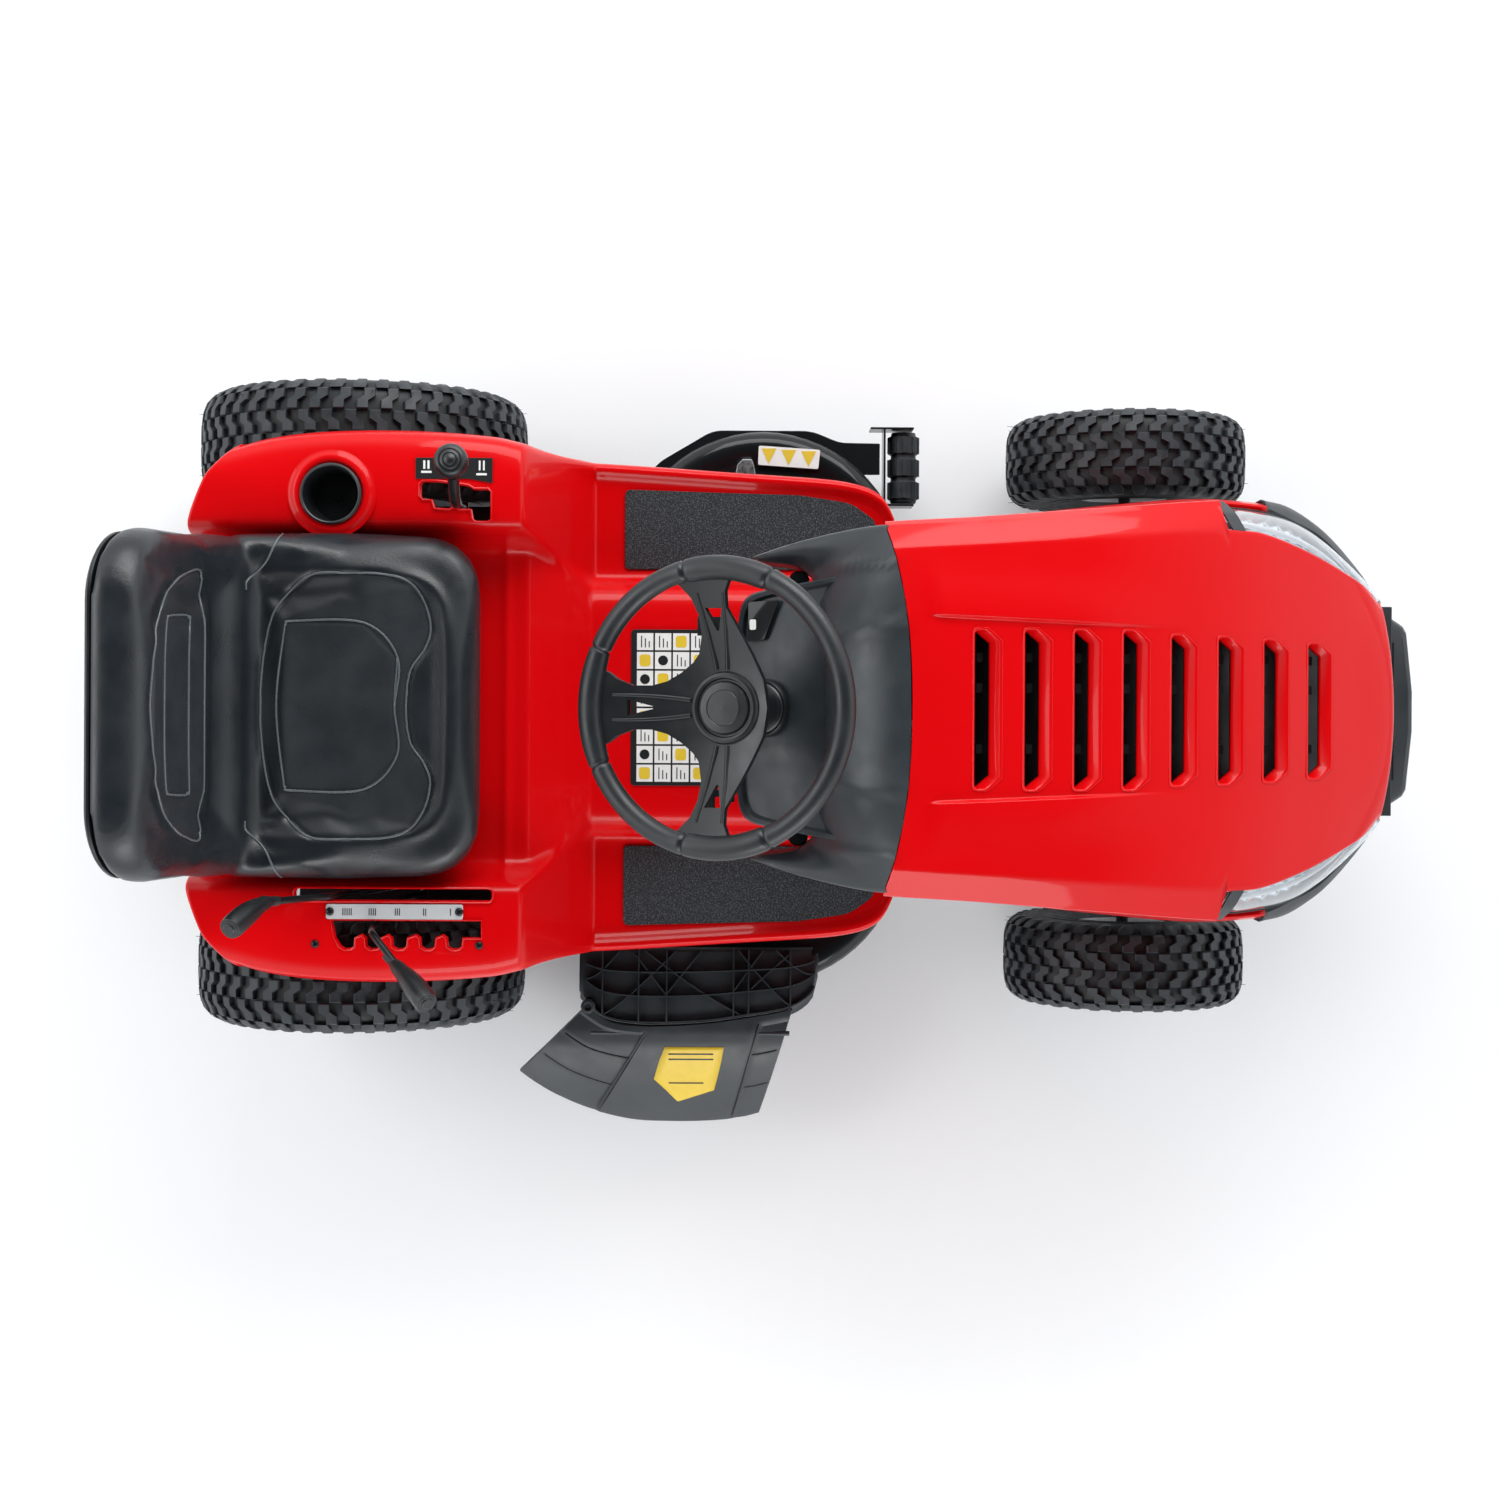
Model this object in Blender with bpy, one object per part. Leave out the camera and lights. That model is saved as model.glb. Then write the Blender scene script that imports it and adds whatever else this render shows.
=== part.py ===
"""Riding lawn mower with a twin-blade deck, modelled as separate pieces in metres.

The machine's own axes: +x is its left side, +y its rear, +z up, and y = 0 lies just in front of
the steering wheel.  Everything hangs under one empty, which sets the machine on the floor with
the middle of its bounding box over the world origin.
"""

import math

import bpy
import bmesh
from mathutils import Matrix, Vector

# ---- Driving dimensions ---------------------------------------------------------------------
MACHINE_X = 0.0985                # centre line of the machine, in the world
MACHINE_Y = 0.0806                # the machine's y = 0, in the world

GAP = 0.0005                      # between pieces that touch
SHEET = 0.003                     # wall of pressed steel and of moulded plastic

WHEEL_SIDES = 24
REAR_RADIUS = 0.254               # 20 inch tyre
REAR_WIDTH = 0.166
REAR_RIM_RADIUS = 0.104
REAR_WHEEL_X = 0.402
REAR_AXLE_Y = 0.593
FRONT_RADIUS = 0.190              # 15 inch tyre
FRONT_WIDTH = 0.134
FRONT_RIM_RADIUS = 0.078
FRONT_WHEEL_X = 0.3975
FRONT_AXLE_Y = -0.618
FLAT = math.cos(math.pi / WHEEL_SIDES)
REAR_AXLE_Z = REAR_RADIUS * FLAT
FRONT_AXLE_Z = FRONT_RADIUS * FLAT
TYRE_WALL = 0.014

RAIL_IN = 0.150                   # frame rails: inner and outer face, underside and top
RAIL_OUT = 0.170
RAIL_LOW = 0.305
RAIL_TOP = 0.365
RAIL_REAR = 0.760
RAIL_FRONT = -0.900

KINGPIN_X = 0.300
AXLE_LOW = 0.215
AXLE_TOP = 0.255
ARM_REACH = 0.070                 # steering arms, forward of the kingpins and of the sector pivot
ARM_LOW = 0.2575
ARM_TOP = 0.2655
LINK_LOW = 0.2685
LINK_TOP = 0.2745

HUB_Y = 0.026                     # steering wheel hub
HUB_Z = 0.860
COLUMN_LEAN = math.radians(24.6)
WHEEL_DISH = 0.019                # the rim stands this far above the hub
WHEEL_RING = 0.1815                # middle of the steering wheel's rim
WHEEL_GRIP = 0.014
SPOKE_THICKNESS = 0.009
SPOKE_HEADINGS = (90, 186, 354)   # degrees from the left side, 90 towards the driver
PINION_RADIUS = 0.0140
SECTOR_RADIUS = 0.0905
SECTOR_LOW = 0.250
SECTOR_TOP = 0.258
PINION_Z = (SECTOR_LOW + SECTOR_TOP) / 2

FENDER_TOP = 0.565
SEAT_DECK = 0.475
BOARD_TOP = 0.330
TUNNEL_TOP = 0.400
CUP_X = 0.303
CUP_Y = 0.586
CUP_DEPTH = 0.052
BOARD_FRONT = -0.236

HOOD_NOSE = -0.900
HOOD_LOW = 0.450
HINGE_Y = -0.905                  # the hood tips forward about this line
HINGE_Z = 0.440

SEAT_HALF = 0.252
BACK_HALF = 0.237
SEAT_FRONT = 0.367
SEAT_HINGE_Y = 0.395
SEAT_HINGE_Z = 0.497

SPINDLE_X = 0.219                 # blade spindles
SPINDLE_Y = -0.036
DECK_RADIUS = 0.230
DECK_LOW = 0.085
DECK_TOP = 0.195
BLADE_REACH = 0.212
BLADE_Z = 0.105

CHUTE_HINGE_X = -0.5185
CHUTE_HINGE_Z = 0.2130

LEVER_ROD = 0.005
LIFT_PIVOT = (-0.291, 0.490, 0.295)
PTO_PIVOT = (-0.2715, 0.490, 0.335)
SHIFT_PIVOT = (0.290, 0.405, 0.505)
THROTTLE_PIVOT = (-0.117, 0.0135, 0.690)
KEY_FACE = (0.113, 0.0075, 0.665)
PEDAL_PIVOT_Y = -0.190
PEDAL_PIVOT_Z = 0.620

# ---- Colours: red, green, blue, roughness, metallic -------------------------------------------
LOOKS = {
    "red_paint": (0.87, 0.004, 0.006, 0.18, 0.0),
    "black_paint": (0.020, 0.024, 0.028, 0.35, 0.0),
    "tyre_rubber": (0.024, 0.030, 0.036, 0.80, 0.0),
    "mat_rubber": (0.036, 0.052, 0.062, 0.85, 0.0),
    "wheel_paint": (0.60, 0.60, 0.60, 0.35, 0.2),
    "seat_vinyl": (0.020, 0.026, 0.036, 0.50, 0.0),
    "dash_plastic": (0.032, 0.042, 0.050, 0.55, 0.0),
    "chute_plastic": (0.085, 0.110, 0.125, 0.50, 0.0),
    "grip_plastic": (0.015, 0.018, 0.020, 0.45, 0.0),
    "clear_lens": (0.75, 0.78, 0.80, 0.08, 0.0),
    "bare_steel": (0.55, 0.56, 0.57, 0.30, 1.0),
    "cast_alloy": (0.45, 0.46, 0.47, 0.45, 0.8),
    "tank_plastic": (0.62, 0.62, 0.58, 0.50, 0.0),
}


# ---- Tools -----------------------------------------------------------------------------------
def clear_scene():
    """Remove every object the file opens with."""
    for item in list(bpy.data.objects):
        bpy.data.objects.remove(item, do_unlink=True)


def look(name):
    """The named material, made the first time it is asked for."""
    if name in bpy.data.materials:
        return bpy.data.materials[name]
    red, green, blue, roughness, metallic = LOOKS[name]
    made = bpy.data.materials.new(name)
    made.use_nodes = True
    shader = made.node_tree.nodes["Principled BSDF"]
    shader.inputs["Base Color"].default_value = (red, green, blue, 1.0)
    shader.inputs["Roughness"].default_value = roughness
    shader.inputs["Metallic"].default_value = metallic
    made.diffuse_color = (red, green, blue, 1.0)
    return made


def machine():
    """The empty that carries every piece."""
    return bpy.data.objects["machine"]


def make(name, shape, material, origin=(0.0, 0.0, 0.0), smooth=False):
    """An object from a shape in the machine's axes, with its own origin at the given point."""
    points, faces = shape
    mesh = bpy.data.meshes.new(name)
    mesh.from_pydata([Vector(point) - Vector(origin) for point in points], [], faces)
    editing = bmesh.new()
    editing.from_mesh(mesh)
    bmesh.ops.recalc_face_normals(editing, faces=editing.faces)
    editing.to_mesh(mesh)
    editing.free()
    mesh.materials.append(look(material))
    if smooth:
        mesh.shade_smooth()
        mesh.set_sharp_from_angle(angle=math.radians(35))
    made = bpy.data.objects.new(name, mesh)
    bpy.context.collection.objects.link(made)
    made.parent = machine()
    made.location = origin
    return made


def combine(base, shape, operation):
    """Join a shape to an object, or cut it away, with a hidden helper object."""
    count = len(base.modifiers) + 1
    helper = make(f"{base.name}.helper{count}", shape, base.data.materials[0].name)
    helper.hide_render = True
    helper.display_type = "WIRE"
    step = base.modifiers.new(f"step{count}", "BOOLEAN")
    step.operation = operation
    step.solver = "EXACT"
    step.object = helper


def add(base, *shapes):
    """Join shapes to an object."""
    for shape in shapes:
        combine(base, shape, "UNION")


def cut(base, *shapes):
    """Cut shapes out of an object."""
    for shape in shapes:
        combine(base, shape, "DIFFERENCE")


def box(x0, x1, y0, y1, z0, z1):
    """A box between two corners."""
    points = [(x, y, z) for x in (x0, x1) for y in (y0, y1) for z in (z0, z1)]
    faces = [(0, 1, 3, 2), (4, 6, 7, 5), (0, 4, 5, 1), (2, 3, 7, 6), (0, 2, 6, 4), (1, 5, 7, 3)]
    return points, faces


def soft_box(x0, x1, y0, y1, z0, z1, edge):
    """A box whose edges are all cut back by the same amount, as a pressed or cast block has."""
    middle = Vector(((x0 + x1) / 2, (y0 + y1) / 2, (z0 + z1) / 2))
    half = Vector(((x1 - x0) / 2, (y1 - y0) / 2, (z1 - z0) / 2))
    editing = bmesh.new()
    bmesh.ops.create_cube(editing, size=2.0)
    bmesh.ops.scale(editing, vec=half, verts=editing.verts)
    bmesh.ops.bevel(editing, geom=editing.edges[:], offset=edge, segments=1, affect="EDGES")
    bmesh.ops.translate(editing, vec=middle, verts=editing.verts)
    return shape_from(editing)


def shape_from(editing):
    """Points and faces of a finished bmesh."""
    editing.verts.ensure_lookup_table()
    points = [vertex.co.copy() for vertex in editing.verts]
    faces = [tuple(vertex.index for vertex in face.verts) for face in editing.faces]
    editing.free()
    return points, faces


def loft(rings, capped=True):
    """A body through rings of equally many points, closed at both ends."""
    count = len(rings[0])
    points = [point for ring in rings for point in ring]
    faces = []
    for level in range(len(rings) - 1):
        low = level * count
        for step in range(count):
            near = low + step
            far = low + (step + 1) % count
            faces.append((near, far, far + count, near + count))
    if capped:
        last = (len(rings) - 1) * count
        faces.append(tuple(range(count)))
        faces.append(tuple(range(last, last + count)))
    return points, faces


def prism(outline, low, high, axis="z"):
    """A flat outline drawn out along one axis: z takes (x, y), y takes (x, z), x takes (y, z)."""
    order = {"z": lambda a, b, c: (a, b, c), "y": lambda a, b, c: (a, c, b), "x": lambda a, b, c: (c, a, b)}
    place = order[axis]
    return loft([[place(a, b, level) for a, b in outline] for level in (low, high)])


def arc(centre_a, centre_b, radius, start, end, steps):
    """Points along an arc in a plane; the angles are in degrees."""
    angles = [math.radians(start + (end - start) * step / steps) for step in range(steps + 1)]
    return [(centre_a + radius * math.cos(angle), centre_b + radius * math.sin(angle)) for angle in angles]


def turned(profile, centre, axis="z", sides=16, ring=False, phase=0.5):
    """A body of revolution.  The profile is (radius, along the axis) points from the centre.

    A plain profile starts and ends on the axis with radius 0; a ring profile is a closed loop.
    The phase turns the facets, so that half a step puts a flat at the bottom of a wheel.
    """
    swap = {"z": lambda a, b, c: (a, b, c), "y": lambda a, b, c: (a, c, b), "x": lambda a, b, c: (c, a, b)}
    place = swap[axis]
    points = []
    rows = []
    for radius, along in profile:
        if radius == 0:
            rows.append([len(points)] * sides)
            points.append(Vector(centre) + Vector(place(0.0, 0.0, along)))
            continue
        rows.append(list(range(len(points), len(points) + sides)))
        for step in range(sides):
            angle = 2 * math.pi * (step + phase) / sides
            offset = place(radius * math.cos(angle), radius * math.sin(angle), along)
            points.append(Vector(centre) + Vector(offset))
    faces = []
    pairs = list(zip(rows, rows[1:] + rows[:1])) if ring else list(zip(rows, rows[1:]))
    for inner, outer in pairs:
        for step in range(sides):
            after = (step + 1) % sides
            corners = [inner[step], inner[after], outer[after], outer[step]]
            faces.append(tuple(dict.fromkeys(corners)))
    return points, [face for face in faces if len(face) > 2]


def rod(start, end, radius, sides=10):
    """A round bar between two points."""
    return tube([start, end], radius, sides)


def tube(route, radius, sides=10):
    """A round bar along a bent route, mitred at its bends."""
    route = [Vector(point) for point in route]
    runs = [(after - before).normalized() for before, after in zip(route, route[1:])]
    side = runs[0].orthogonal().normalized()
    rings = []
    for index, point in enumerate(route):
        before = runs[max(index - 1, 0)]
        after = runs[min(index, len(runs) - 1)]
        heading = (before + after).normalized()
        stretch = 1 / max(heading.dot(before), 0.5)
        side = (side - heading * side.dot(heading)).normalized()
        other = heading.cross(side)
        bend = (after - before)
        bend = bend.normalized() if bend.length > 1e-6 else side
        ring = []
        for step in range(sides):
            angle = 2 * math.pi * (step + 0.5) / sides
            offset = (side * math.cos(angle) + other * math.sin(angle)) * radius
            offset += bend * offset.dot(bend) * (stretch - 1)
            ring.append(point + offset)
        rings.append(ring)
    return loft(rings)


def shell(rows, thickness, wrapped=False):
    """A wall of even thickness: a grid of outer points, and inner ones set off along its normals.

    The inner side is the way along a row crossed with the way from the first row to the last.
    """
    height = len(rows)
    width = len(rows[0])
    rows = [[Vector(point) for point in row] for row in rows]
    inner = []
    for i in range(height):
        for j in range(width):
            down = rows[min(i + 1, height - 1)][j] - rows[max(i - 1, 0)][j]
            if wrapped:
                across = rows[i][(j + 1) % width] - rows[i][j - 1]
            else:
                across = rows[i][min(j + 1, width - 1)] - rows[i][max(j - 1, 0)]
            inner.append(rows[i][j] + across.cross(down).normalized() * thickness)
    points = [point for row in rows for point in row] + inner
    back = height * width
    faces = []
    for i in range(height - 1):
        for j in range(width if wrapped else width - 1):
            beside = (j + 1) % width
            face = (i * width + j, i * width + beside, (i + 1) * width + beside, (i + 1) * width + j)
            faces.append(face)
            faces.append(tuple(back + corner for corner in reversed(face)))
    for i in (0, height - 1):
        for j in range(width if wrapped else width - 1):
            near = i * width + j
            far = i * width + (j + 1) % width
            faces.append((near, far, back + far, back + near))
    if not wrapped:
        for j in (0, width - 1):
            for i in range(height - 1):
                near = i * width + j
                far = near + width
                faces.append((near, far, back + far, back + near))
    return points, faces


def turn(shape, pivot, axis, angle):
    """A shape turned about a line through the pivot."""
    points, faces = shape
    turning = Matrix.Rotation(angle, 3, axis)
    pivot = Vector(pivot)
    return [turning @ (Vector(point) - pivot) + pivot for point in points], faces


def between(table, at):
    """Straight-line value at a place in a table of (place, value) pairs with falling places."""
    if at >= table[0][0]:
        return table[0][1]
    for (high, first), (low, second) in zip(table, table[1:]):
        if at >= low:
            return first + (second - first) * (high - at) / (high - low)
    return table[-1][1]


SIDES = (("left", 1), ("right", -1))


# ---- Wheels ----------------------------------------------------------------------------------
def tyre(name, side, wheel_x, axle_y, axle_z, radius, width, rim_radius):
    """An open tyre casing around its rim."""
    half = width / 2
    bead = half - 0.022
    wide = half - 0.030
    sidewall = (radius + rim_radius) / 2
    profile = [
        (rim_radius, -bead), (sidewall, -half), (radius, -wide),
        (radius, wide), (sidewall, half), (rim_radius, bead),
        (rim_radius, bead - TYRE_WALL), (radius - TYRE_WALL, wide - TYRE_WALL),
        (radius - TYRE_WALL, TYRE_WALL - wide), (rim_radius, TYRE_WALL - bead),
    ]
    centre = (side * wheel_x, axle_y, axle_z)
    return make(name, turned(profile, centre, "x", WHEEL_SIDES, ring=True), "tyre_rubber", centre, True)


def rear_rim(name, side):
    """A pressed rim with its hub cap, in one with the axle shaft that drives it."""
    lip = REAR_RIM_RADIUS - GAP
    well = lip - 0.006
    half = REAR_WIDTH / 2 - 0.012
    shaft_end = REAR_WHEEL_X - 0.2005
    profile = [
        (0, -shaft_end), (0.0127, -shaft_end), (0.0127, -0.030), (0.034, -0.026),
        (well, 0.000), (well, -half), (lip, -half), (lip, half), (well, half),
        (well, 0.012), (0.042, 0.030), (0.038, 0.062), (0, 0.068),
    ]
    centre = (side * REAR_WHEEL_X, REAR_AXLE_Y, REAR_AXLE_Z)
    profile = [(radius, side * along) for radius, along in profile]
    return make(name, turned(profile, centre, "x", WHEEL_SIDES), "wheel_paint", centre, True)


def front_rim(name, side):
    """A pressed rim with its hub cap and a blind bore for the spindle."""
    lip = FRONT_RIM_RADIUS - GAP
    well = lip - 0.006
    half = FRONT_WIDTH / 2 - 0.012
    profile = [
        (0, 0.045), (0.0105, 0.045), (0.0105, -0.045), (0.024, -0.045),
        (0.024, -0.006), (well, 0.000), (well, -half), (lip, -half), (lip, half), (well, half),
        (well, 0.012), (0.030, 0.026), (0.026, 0.052), (0, 0.056),
    ]
    centre = (side * FRONT_WHEEL_X, FRONT_AXLE_Y, FRONT_AXLE_Z)
    profile = [(radius, side * along) for radius, along in profile]
    return make(name, turned(profile, centre, "x", WHEEL_SIDES), "wheel_paint", centre, True)


def wheels():
    """Four rims and four tyres."""
    for word, side in SIDES:
        tyre(f"rear_{word}_tyre", side, REAR_WHEEL_X, REAR_AXLE_Y, REAR_AXLE_Z,
             REAR_RADIUS, REAR_WIDTH, REAR_RIM_RADIUS)
        tyre(f"front_{word}_tyre", side, FRONT_WHEEL_X, FRONT_AXLE_Y, FRONT_AXLE_Z,
             FRONT_RADIUS, FRONT_WIDTH, FRONT_RIM_RADIUS)
        rear_rim(f"rear_{word}_rim", side)
        front_rim(f"front_{word}_rim", side)


# ---- Frame -----------------------------------------------------------------------------------
def frame():
    """Two rails, the plates across them, the hitch and the bumper."""
    for word, side in SIDES:
        inner, outer = sorted((side * RAIL_IN, side * RAIL_OUT))
        rail = make(f"{word}_frame_rail", box(inner, outer, RAIL_FRONT, RAIL_REAR, RAIL_LOW, RAIL_TOP),
                    "black_paint")
        hollow_in, hollow_out = sorted((side * (RAIL_IN - SHEET), side * (RAIL_OUT - SHEET)))
        cut(rail, box(hollow_in, hollow_out, RAIL_FRONT - SHEET, RAIL_REAR + SHEET,
                      RAIL_LOW + SHEET, RAIL_TOP - SHEET))
    across = RAIL_IN - GAP
    hitch = make("rear_hitch_plate", box(-RAIL_OUT, RAIL_OUT, RAIL_REAR + GAP, RAIL_REAR + 0.006,
                                         0.235, RAIL_TOP), "black_paint")
    add(hitch, box(-0.050, 0.050, RAIL_REAR + 0.003, RAIL_REAR + 0.055, 0.235, 0.241))
    cut(hitch, turned([(0, -0.02), (0.0095, -0.02), (0.0095, 0.02), (0, 0.02)],
                      (0, RAIL_REAR + 0.035, 0.238)))
    plate = make("engine_plate", box(-RAIL_OUT, RAIL_OUT, -0.850, -0.245,
                                     RAIL_TOP + GAP, RAIL_TOP + 0.006), "black_paint")
    cut(plate, turned([(0, -0.02), (0.022, -0.02), (0.022, 0.02), (0, 0.02)], (0, -0.520, RAIL_TOP)))
    bracket = make("front_axle_bracket", box(-across, across, -0.662, -0.574, RAIL_LOW, RAIL_LOW + 0.010),
                   "black_paint")
    add(bracket,
        box(-0.050, 0.050, -0.662, -0.645, 0.205, RAIL_LOW + 0.005),
        box(-0.050, 0.050, -0.591, -0.574, 0.205, RAIL_LOW + 0.005),
        rod((0, -0.650, 0.235), (0, -0.586, 0.235), 0.0100, 12))
    support = make("steering_support", box(-across, across, sector_y() - 0.020, sector_y() + 0.020,
                                           RAIL_LOW, RAIL_LOW + 0.010), "black_paint")
    add(support, rod((0, sector_y(), 0.244), (0, sector_y(), RAIL_LOW + 0.005), 0.0080, 12))
    bumper()


def bumper():
    """A bent steel band on two struts, bolted to the ends of the rails."""
    half_band = 0.012
    outline = [(-0.152, -0.945), (-0.118, -0.990), (-0.060, -1.006), (0.060, -1.006),
               (0.118, -0.990), (0.152, -0.945)]
    back = [(x * 0.965, y + 0.006) for x, y in reversed(outline)]
    band = make("front_bumper", prism(outline + back, 0.355, 0.415), "black_paint")
    for side in (-1, 1):
        inner, outer = sorted((side * (0.130), side * 0.150))
        add(band, box(inner, outer, RAIL_FRONT - GAP - 0.055, RAIL_FRONT - GAP,
                      RAIL_LOW + 0.005, RAIL_TOP))
        post_in, post_out = sorted((side * (0.150 - half_band), side * 0.150))
        add(band, box(post_in, post_out, RAIL_FRONT - 0.060, RAIL_FRONT - 0.048,
                      RAIL_LOW + 0.005, 0.400))


# ---- Front axle and steering -------------------------------------------------------------------
def column_y(height):
    """Where the leaning steering column is at a height."""
    return HUB_Y - (HUB_Z - height) * math.tan(COLUMN_LEAN)


def sector_y():
    """The steering sector's pivot, ahead of the pinion."""
    return column_y(PINION_Z) - (SECTOR_RADIUS - PINION_RADIUS)


def front_axle():
    """The rocking beam, and a knuckle and a drag link on each side."""
    beam = make("front_axle_beam", box(-0.290, 0.290, FRONT_AXLE_Y - 0.018, FRONT_AXLE_Y + 0.018,
                                       AXLE_LOW, AXLE_TOP), "black_paint", (0, FRONT_AXLE_Y, 0.235))
    boss = [(0, AXLE_LOW), (0.022, AXLE_LOW), (0.022, AXLE_TOP), (0, AXLE_TOP)]
    bore = [(0, AXLE_LOW - 0.01), (0.0110, AXLE_LOW - 0.01), (0.0110, AXLE_TOP + 0.01), (0, AXLE_TOP + 0.01)]
    for side in (-1, 1):
        add(beam, turned(boss, (side * KINGPIN_X, FRONT_AXLE_Y, 0)))
    for side in (-1, 1):
        cut(beam, turned(bore, (side * KINGPIN_X, FRONT_AXLE_Y, 0)))
    cut(beam, rod((0, FRONT_AXLE_Y - 0.03, 0.235), (0, FRONT_AXLE_Y + 0.03, 0.235), 0.0115, 12))
    for word, side in SIDES:
        knuckle(word, side)
        drag_link(word, side)


def knuckle(word, side):
    """Kingpin, wheel spindle and steering arm in one forging."""
    pin = (side * KINGPIN_X, FRONT_AXLE_Y, 0)
    kingpin = [(0, 0.165), (0.017, 0.165), (0.017, AXLE_LOW - GAP), (0.0098, AXLE_LOW - GAP),
               (0.0098, ARM_TOP), (0, ARM_TOP)]
    forging = make(f"{word}_knuckle", turned(kingpin, pin), "black_paint",
                   (side * KINGPIN_X, FRONT_AXLE_Y, FRONT_AXLE_Z))
    inner, outer = sorted((side * (KINGPIN_X - 0.012), side * (KINGPIN_X + 0.012)))
    tip = FRONT_AXLE_Y - ARM_REACH
    add(forging,
        rod((side * KINGPIN_X, FRONT_AXLE_Y, FRONT_AXLE_Z),
            (side * (FRONT_WHEEL_X + 0.040), FRONT_AXLE_Y, FRONT_AXLE_Z), 0.0095, 12),
        box(inner, outer, tip - 0.010, FRONT_AXLE_Y + 0.012, ARM_LOW, ARM_TOP),
        rod((side * KINGPIN_X, tip, ARM_TOP - 0.004), (side * KINGPIN_X, tip, LINK_TOP + 0.004), 0.0050))


def drag_link(word, side):
    """A flat bar from the knuckle's arm to the sector, pierced at the arm."""
    outer_y = FRONT_AXLE_Y - ARM_REACH
    inner_y = sector_y() - ARM_REACH
    origin = (side * KINGPIN_X, outer_y, LINK_LOW)
    reach = Vector((side * (KINGPIN_X - 0.014), outer_y - inner_y))
    heading = math.degrees(math.atan2(reach.y, reach.x))
    outline = arc(side * KINGPIN_X, outer_y, 0.011, heading - 90, heading + 90, 6)
    outline += arc(side * 0.014, inner_y, 0.011, heading + 90, heading + 270, 6)
    bar = make(f"{word}_drag_link", prism(outline, LINK_LOW, LINK_TOP), "bare_steel", origin)
    cut(bar, rod((side * KINGPIN_X, outer_y, LINK_LOW - 0.01),
                 (side * KINGPIN_X, outer_y, LINK_TOP + 0.01), 0.0058))


def steering():
    """Steering wheel, its shaft with the pinion, and the sector with inside teeth."""
    pivot_y = sector_y()
    spread = 46
    outline = arc(0, pivot_y, SECTOR_RADIUS + 0.014, 90 - spread - 6, 90 + spread + 6, 10)
    outline += [(-0.030, pivot_y), (-0.026, pivot_y - ARM_REACH)]
    outline += arc(0, pivot_y - ARM_REACH, 0.026, 200, 340, 4)
    outline += [(0.026, pivot_y - ARM_REACH), (0.030, pivot_y)]
    sector = make("steering_sector", prism(outline, SECTOR_LOW, SECTOR_TOP), "bare_steel",
                  (0, pivot_y, PINION_Z))
    teeth = 12
    toothed = []
    for step in range(2 * teeth + 1):
        angle = math.radians(90 - spread + 2 * spread * step / (2 * teeth))
        reach = SECTOR_RADIUS + (0.0025 if step % 2 else 0.0)
        toothed.append((reach * math.cos(angle), pivot_y + reach * math.sin(angle)))
    slot = toothed + arc(0, pivot_y, 0.056, 90 + spread, 90 - spread, 8)
    cut(sector, prism(slot, SECTOR_LOW - 0.01, SECTOR_TOP + 0.01))
    cut(sector, rod((0, pivot_y, SECTOR_LOW - 0.01), (0, pivot_y, SECTOR_TOP + 0.01), 0.0090, 12))

    along = Vector((0, math.sin(COLUMN_LEAN), math.cos(COLUMN_LEAN)))
    hub = Vector((0, HUB_Y, HUB_Z))
    foot = Vector((0, column_y(SECTOR_LOW - 0.006), SECTOR_LOW - 0.006))
    length = (hub - foot).length
    top = length - 0.026 - GAP
    profile = [(0, 0), (0.0105, 0), (0.0105, 0.030), (0.0085, 0.034), (0.0085, length - 0.150),
               (0.0150, length - 0.146), (0.0150, top), (0, top)]
    shaft = turn(turned(profile, foot, "z", 12), foot, "X", -COLUMN_LEAN)
    make("steering_shaft", shaft, "black_paint", tuple(hub), True)
    steering_wheel(hub)


def steering_wheel(hub):
    """Round rim, three spokes rising to it and a hub, built flat and then leaned with the column."""
    grip = [(WHEEL_RING + across, WHEEL_DISH + up) for across, up in arc(0, 0, WHEEL_GRIP, 0, 315, 7)]
    rim = turned(grip, hub, "z", 32, ring=True)
    wheel = make("steering_wheel", turn(rim, hub, "X", -COLUMN_LEAN), "grip_plastic", tuple(hub), True)
    boss = [(0, -0.026), (0.034, -0.026), (0.030, 0.004), (0.024, 0.008), (0, 0.010)]
    add(wheel, turn(turned(boss, hub, "z", 16), hub, "X", -COLUMN_LEAN))
    for heading in SPOKE_HEADINGS:
        stations = ((0.010, 0.022, -0.010), (0.110, 0.017, -0.002), (WHEEL_RING, 0.045, WHEEL_DISH - 0.008))
        rings = []
        for reach, half, low in stations:
            top = low + SPOKE_THICKNESS
            rings.append([(reach, -half, low), (reach, half, low), (reach, half, top), (reach, -half, top)])
        points, faces = loft(rings)
        points = [Vector(point) + hub for point in points]
        level = turn((points, faces), hub, "Z", math.radians(heading))
        add(wheel, turn(level, hub, "X", -COLUMN_LEAN))


# ---- Body ------------------------------------------------------------------------------------
FENDER_WIDTHS = [(0.803, 0.262), (0.795, 0.290), (0.780, 0.323), (0.726, 0.373), (0.656, 0.393),
                 (0.568, 0.400), (0.463, 0.400), (0.357, 0.392), (0.290, 0.376), (0.216, 0.377),
                 (0.000, 0.363), (-0.185, 0.348), (-0.222, 0.330), (-0.236, 0.300)]


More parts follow.
